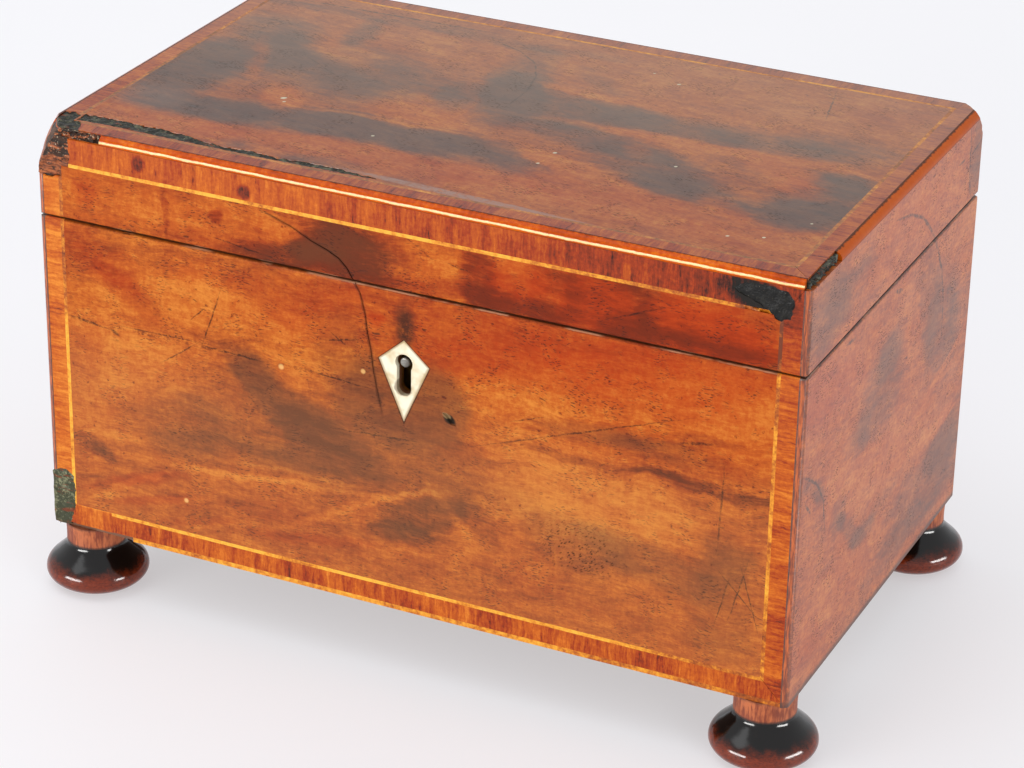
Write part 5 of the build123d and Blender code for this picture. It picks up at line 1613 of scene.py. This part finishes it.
class CADDY_OT_losses(bpy.types.Operator):
    """Broken corners, old stopping, the crack and the chips along the seam"""

    bl_idname = "caddy.losses"
    bl_label = "Losses and stopping"

    def execute(self, context):
        losses = context.scene.caddy_losses
        rng = random.Random(losses.seed)
        depth = losses.depth / MM
        drop = losses.filler_drop / MM
        seat = depth + 0.02
        width = losses.crack_width / MM

        def level(value):
            return lambda u, v: value

        proud = level(CUTTER_PROUD)

        def opening(name, outline, place, deep, jitter=0.3):
            """A cutter through a face, and the ragged outline it follows."""
            edge = ragged(outline, rng, 0.9, jitter)
            return slab(name, edge, proud, deep, place), edge

        lid_corner, lid_corner_edge = opening("lid_corner_cutter", LID_CORNER, on_front, 1.0)
        case_corner, case_corner_edge = opening("case_corner_cutter", CASE_CORNER, on_front, 1.0)
        right_hole, right_edge = opening("right_stopping_cutter", RIGHT_STOPPING, on_front, depth)
        top_hole, top_edge = opening("top_stopping_cutter", TOP_STOPPING, on_top, depth, 0.22)
        corner_hole, corner_edge = opening("top_corner_cutter", TOP_CORNER, on_top, depth, 0.25)
        patch_hole = slab("replaced_banding_cutter", REPLACED_BANDING, proud, 1.0, on_front)
        line_hole = slab("line_end_cutter", ragged(LINE_END, rng, 1.0, 0.15), proud, 0.35, on_front)
        chip_hole = slab("chip_cutter", ragged(KITE_CHIP, rng, 0.6, 0.12), proud, 0.6, on_front)

        # the crack narrows downwards on the case and to the left on the lid
        ends = len(CRACK) - 1
        left, right = [], []
        for i, at in enumerate(CRACK):
            before, after = Vector(CRACK[max(0, i - 1)]), Vector(CRACK[min(ends, i + 1)])
            share_open = 0.12 + 0.5 * math.sin(math.pi * (i + 1) / (ends + 2))
            side = (after - before).normalized().orthogonal() * width * share_open
            left.append(tuple(Vector(at) + side))
            right.append(tuple(Vector(at) - side))
        crack_hole = slab("crack_cutter", left + right[::-1], proud, 0.8, on_front)

        seam_holes = []
        for i, (at, long, high) in enumerate(SEAM_CHIPS):
            outline = [(at + u * long, SEAM_Z + v * high) for u, v in CHIP_SHAPE]
            if i % 2:
                outline = [(u, 2 * SEAM_Z - v) for u, v in outline]
            outline = ragged(outline, rng, 0.7, 0.12)
            seam_holes.append(slab("seam_chip_%d" % i, outline, proud, 0.25, on_front))

        broken = {name: worn_corner(name + "_cutter", *measures) for name, measures in BREAKS.items()}
        front_left, back_right, front_right, back_left, low_left, low_right = broken.values()
        corners = [front_left, back_right, front_right, back_left]
        front_corners, back_corners = [front_left, front_right], [back_right, back_left]
        cuts = (
            ("lid_left_veneer", "lid", "end_mahogany", [front_left, back_left, lid_corner]),
            ("lid_right_veneer", "lid", "end_mahogany", [back_right, front_right]),
            ("lid_back_veneer", "lid", "end_mahogany", back_corners),
            ("lid_front_crossbanding", "lid", "crossbanding", [lid_corner, right_hole, *front_corners]),
            ("lid_front_lines", "lid", "boxwood", [lid_corner, right_hole, line_hole]),
            ("lid_front_veneer", "lid", "figured_mahogany", [right_hole, crack_hole, *seam_holes]),
            ("lid_top_crossbanding", "lid", "crossbanding", [top_hole, corner_hole, *corners]),
            ("lid_top_lines", "lid", "boxwood", [top_hole, corner_hole]),
            ("lid_top_veneer", "lid", "figured_mahogany", [top_hole]),
            ("lid_edging", "lid", "stained_edging", corners),
            ("lid_top_board", "lid", "carcass_wood", corners),
            ("lid_front_rail", "lid", "carcass_wood", front_corners),
            ("lid_back_rail", "lid", "carcass_wood", back_corners),
            ("lid_left_rail", "lid", "carcass_wood", [front_left, back_left]),
            ("lid_right_rail", "lid", "carcass_wood", [back_right, front_right]),
            ("front_veneer", "case", "figured_mahogany", [crack_hole, chip_hole, *seam_holes]),
            ("front_crossbanding", "case", "crossbanding", [case_corner, patch_hole, low_left, low_right]),
            ("front_lines", "case", "boxwood", [case_corner, patch_hole]),
            ("left_end_veneer", "case", "end_mahogany", [low_left, case_corner]),
            ("right_end_veneer", "case", "end_mahogany", [low_right]),
        )
        for node, body, slot, cutters in cuts:
            piece = cut_away(node, node + "_worn", cutters)
            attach(piece, body)
            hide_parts(node)

        raw = raw_wood("raw_corner")
        stopping = old_filler("black_stopping", (0.035, 0.03, 0.025), (0.10, 0.09, 0.07))
        dark_green = old_filler("green_black_stopping", (0.11, 0.115, 0.09), (0.38, 0.38, 0.30), 0.1)
        green = old_filler("green_stopping", (0.22, 0.23, 0.15), (0.50, 0.50, 0.38), 0.3)
        beyond = FRONT_HIGH.x + 50
        patch_wood = crossband("replaced_banding", "xz", beyond, lambda v: v * 0.0, 0.06, replaced_wear)

        def inset(name, edge, face, back, place, material, body, worn=None):
            piece = slab(name, edge, face, back, place, 0.55)
            if worn:
                take_out(piece, worn)
                piece = to_mesh(piece, name)
            dress(material, piece)
            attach(piece, body)

        def within(edge, low, high):
            """Keeps a stopping inside the box of the wood around it."""
            return [(max(u, low[0]), min(max(v, low[1]), high[1])) for u, v in edge]

        def on_right(u, v, deep):
            return Vector((CASE_HALF_LENGTH - deep, u, v))

        bed = within(lid_corner_edge, (-117.7, 133.0), (0, 146.6))
        face = rough_face(0.35, 0.98, 1.8, 1.0)
        inset("lid_corner_bed", bed, face, 1.02, on_front, raw, "lid", front_left)
        bed = within(case_corner_edge, (-117.7, 21.4), (0, 60))
        face = rough_face(0.05, 0.5, 2.6, 2.0)
        inset("case_corner_bed", bed, face, 1.02, on_front, green, "case")
        face = rough_face(0.0, drop * 1.5, 3.0, 3.0)
        inset("right_stopping", right_edge, face, seat, on_front, stopping, "lid")
        face = rough_face(0.02, drop * 2.5, 2.6, 4.0)
        inset("top_stopping", top_edge, face, seat, on_top, dark_green, "lid")
        bed = within(corner_edge, (-115.7, -68.7), (0, 0))
        face = rough_face(0.0, 0.6, 2.2, 8.0)
        inset("top_corner_bed", bed, face, seat, on_top, dark_green, "lid", front_left)
        banding = ragged(REPLACED_BANDING, rng, 2.0, 0.06)
        inset("replaced_banding_piece", banding, level(0.04), 1.0, on_front, patch_wood, "case")

        # lumps of old glue and dirt in the channel of the missing edging
        channel = ragged(FRONT_CHANNEL, rng, 0.7, 0.12)
        face = rough_face(0.5, 2.1, 1.4, 5.0)
        inset("front_channel_glue", channel, face, 2.3, on_front, raw, "lid", front_left)
        channel = ragged(RIGHT_CHANNEL, rng, 0.7, 0.12)
        face = rough_face(0.4, 2.0, 1.4, 6.0)
        inset("right_channel_glue", channel, face, 2.3, on_right, dark_green, "lid", front_right)
        for cutter in {piece for _, _, _, cutters in cuts for piece in cutters}:
            bpy.data.objects.remove(cutter)
        return {"FINISHED"}


# the camera's angles in degrees and its place in metres, fitted to the photograph
CAMERA_AZIMUTH, CAMERA_ELEVATION, CAMERA_ROLL = 25.06, 26.12, 1.03
CAMERA_PLACE = (0.3809, -0.8147, 0.5038)
FLOOR_REACH = 4.0


def towards(turn, rise):
    """Unit vector from the caddy, turned from its front and raised by degrees."""
    turn, rise = math.radians(turn), math.radians(rise)
    return Vector((math.sin(turn) * math.cos(rise), -math.cos(turn) * math.cos(rise), math.sin(rise)))


class CADDY_OT_stage(bpy.types.Operator):
    """Pale floor, soft light and the camera"""

    bl_idname = "caddy.stage"
    bl_label = "Stage"

    def execute(self, context):
        stage = context.scene.caddy_stage
        finish = Finish("pale_floor")
        slow = finish.noise(finish.place, 260.0, 2.0)
        fine = finish.noise(finish.place, 0.8, 2.0)
        floor_rgb = finish.mix(stage.floor, (0.67, 0.67, 0.685), slow)
        glow = {"Emission_Strength": stage.floor_glow, "Emission_Color": (0.985, 0.98, 1.0, 1.0)}
        floor_finish = finish.done(floor_rgb, 0.6 + (slow - 0.5) * 0.1, fine, 0.03, 0.0001, **glow)
        mesh = bpy.data.meshes.new("pale_floor")
        corners = ((-1, -1), (1, -1), (1, 1), (-1, 1))
        mesh.from_pydata([(x * FLOOR_REACH, y * FLOOR_REACH, 0) for x, y in corners], [], [(0, 1, 2, 3)])
        floor = link(bpy.data.objects.new("pale_floor", mesh))
        dress(floor_finish, floor)

        world = bpy.data.worlds.new("soft_room")
        world.use_nodes = True
        background = world.node_tree.nodes["Background"]
        background.inputs["Color"].default_value = (0.97, 0.98, 1.0, 1.0)
        background.inputs["Strength"].default_value = stage.sky
        context.scene.world = world

        def soft_light(name, turn, rise, away, size, glow, tint, spreads=True, mirrored=True):
            """An area light; turn and rise in degrees from the caddy, glow is its brightness."""
            heading = towards(turn, rise)
            light = bpy.data.lights.new(name, "AREA")
            light.shape = "RECTANGLE"
            light.size, light.size_y = size
            light.energy = glow * math.pi * size[0] * size[1]
            light.color = tint
            lamp = link(bpy.data.objects.new(name, light))
            lamp.location = Vector((0, 0, 0.08)) + heading * away
            lamp.rotation_euler = heading.to_track_quat("Z", "Y").to_euler()
            lamp.visible_diffuse = spreads
            lamp.visible_glossy = mirrored

        # softboxes light the caddy; windows are only seen in its gloss
        key = stage.key
        soft_light("left_softbox", -22, 12, 1.6, (0.9, 0.12), key * 1.5, (1.0, 0.97, 0.92), mirrored=False)
        soft_light("right_softbox", 58, 20, 1.6, (0.5, 0.5), key * 0.25, (1.0, 0.98, 0.96), mirrored=False)
        soft_light("high_softbox", -60, 62, 1.7, (1.1, 1.1), key * 0.12, (0.98, 0.99, 1.0))
        for name, turn in (("left_window", -28), ("right_window", 84)):
            soft_light(name, turn, 12, 1.6, (1.0, 0.34), key * 1.7, (1.0, 0.99, 0.97), spreads=False)

        lens = bpy.data.cameras.new("caddy_camera")
        lens.lens = stage.lens
        lens.sensor_width = 36.0
        lens.clip_start = 0.01
        camera = link(bpy.data.objects.new("caddy_camera", lens))
        back = towards(CAMERA_AZIMUTH, CAMERA_ELEVATION)
        azimuth, roll = math.radians(CAMERA_AZIMUTH), math.radians(CAMERA_ROLL)
        right = Vector((math.cos(azimuth), math.sin(azimuth), 0))
        up = back.cross(right)
        cos, sin = math.cos(roll), math.sin(roll)
        right, up = cos * right + sin * up, cos * up - sin * right
        turn = Matrix((right, up, back)).transposed().to_4x4()
        camera.matrix_world = Matrix.Translation(CAMERA_PLACE) @ turn
        context.scene.camera = camera
        context.scene.view_settings.view_transform = "Standard"
        return {"FINISHED"}


class CADDY_PT_panel(bpy.types.Panel):
    """Lists the steps that dress the caddy, with their sizes and colours"""

    bl_idname = "CADDY_PT_panel"
    bl_label = "Tea Caddy"
    bl_space_type = "VIEW_3D"
    bl_region_type = "UI"
    bl_category = "Tea Caddy"

    def draw(self, context):
        layout = self.layout
        for name in GROUPS:
            group = getattr(context.scene, name)
            box = layout.box()
            for key in group.__annotations__:
                box.prop(group, key)
        for step in STEPS:
            layout.operator(step.bl_idname)


STEPS = (
    CADDY_OT_stage,
    CADDY_OT_veneers,
    CADDY_OT_bandings,
    CADDY_OT_boards,
    CADDY_OT_feet,
    CADDY_OT_escutcheon,
    CADDY_OT_compartments,
    CADDY_OT_metalwork,
    CADDY_OT_losses,
)

GROUPS = {
    "caddy_woods": CADDY_PG_woods,
    "caddy_fittings": CADDY_PG_fittings,
    "caddy_losses": CADDY_PG_losses,
    "caddy_stage": CADDY_PG_stage,
}


def register():
    for group in GROUPS.values():
        bpy.utils.register_class(group)
    for key, group in GROUPS.items():
        setattr(bpy.types.Scene, key, bpy.props.PointerProperty(type=group))
    for step in STEPS:
        bpy.utils.register_class(step)
    bpy.utils.register_class(CADDY_PT_panel)


def unregister():
    bpy.utils.unregister_class(CADDY_PT_panel)
    for step in reversed(STEPS):
        bpy.utils.unregister_class(step)
    for key in GROUPS:
        delattr(bpy.types.Scene, key)
    for group in reversed(GROUPS.values()):
        bpy.utils.unregister_class(group)


def main():
    register()
    bpy.ops.caddy.stage()
    bpy.ops.caddy.veneers()
    bpy.ops.caddy.bandings()
    bpy.ops.caddy.boards()
    bpy.ops.caddy.feet()
    bpy.ops.caddy.escutcheon()
    bpy.ops.caddy.compartments()
    bpy.ops.caddy.metalwork()
    bpy.ops.caddy.losses()


if __name__ == "__main__":
    main()
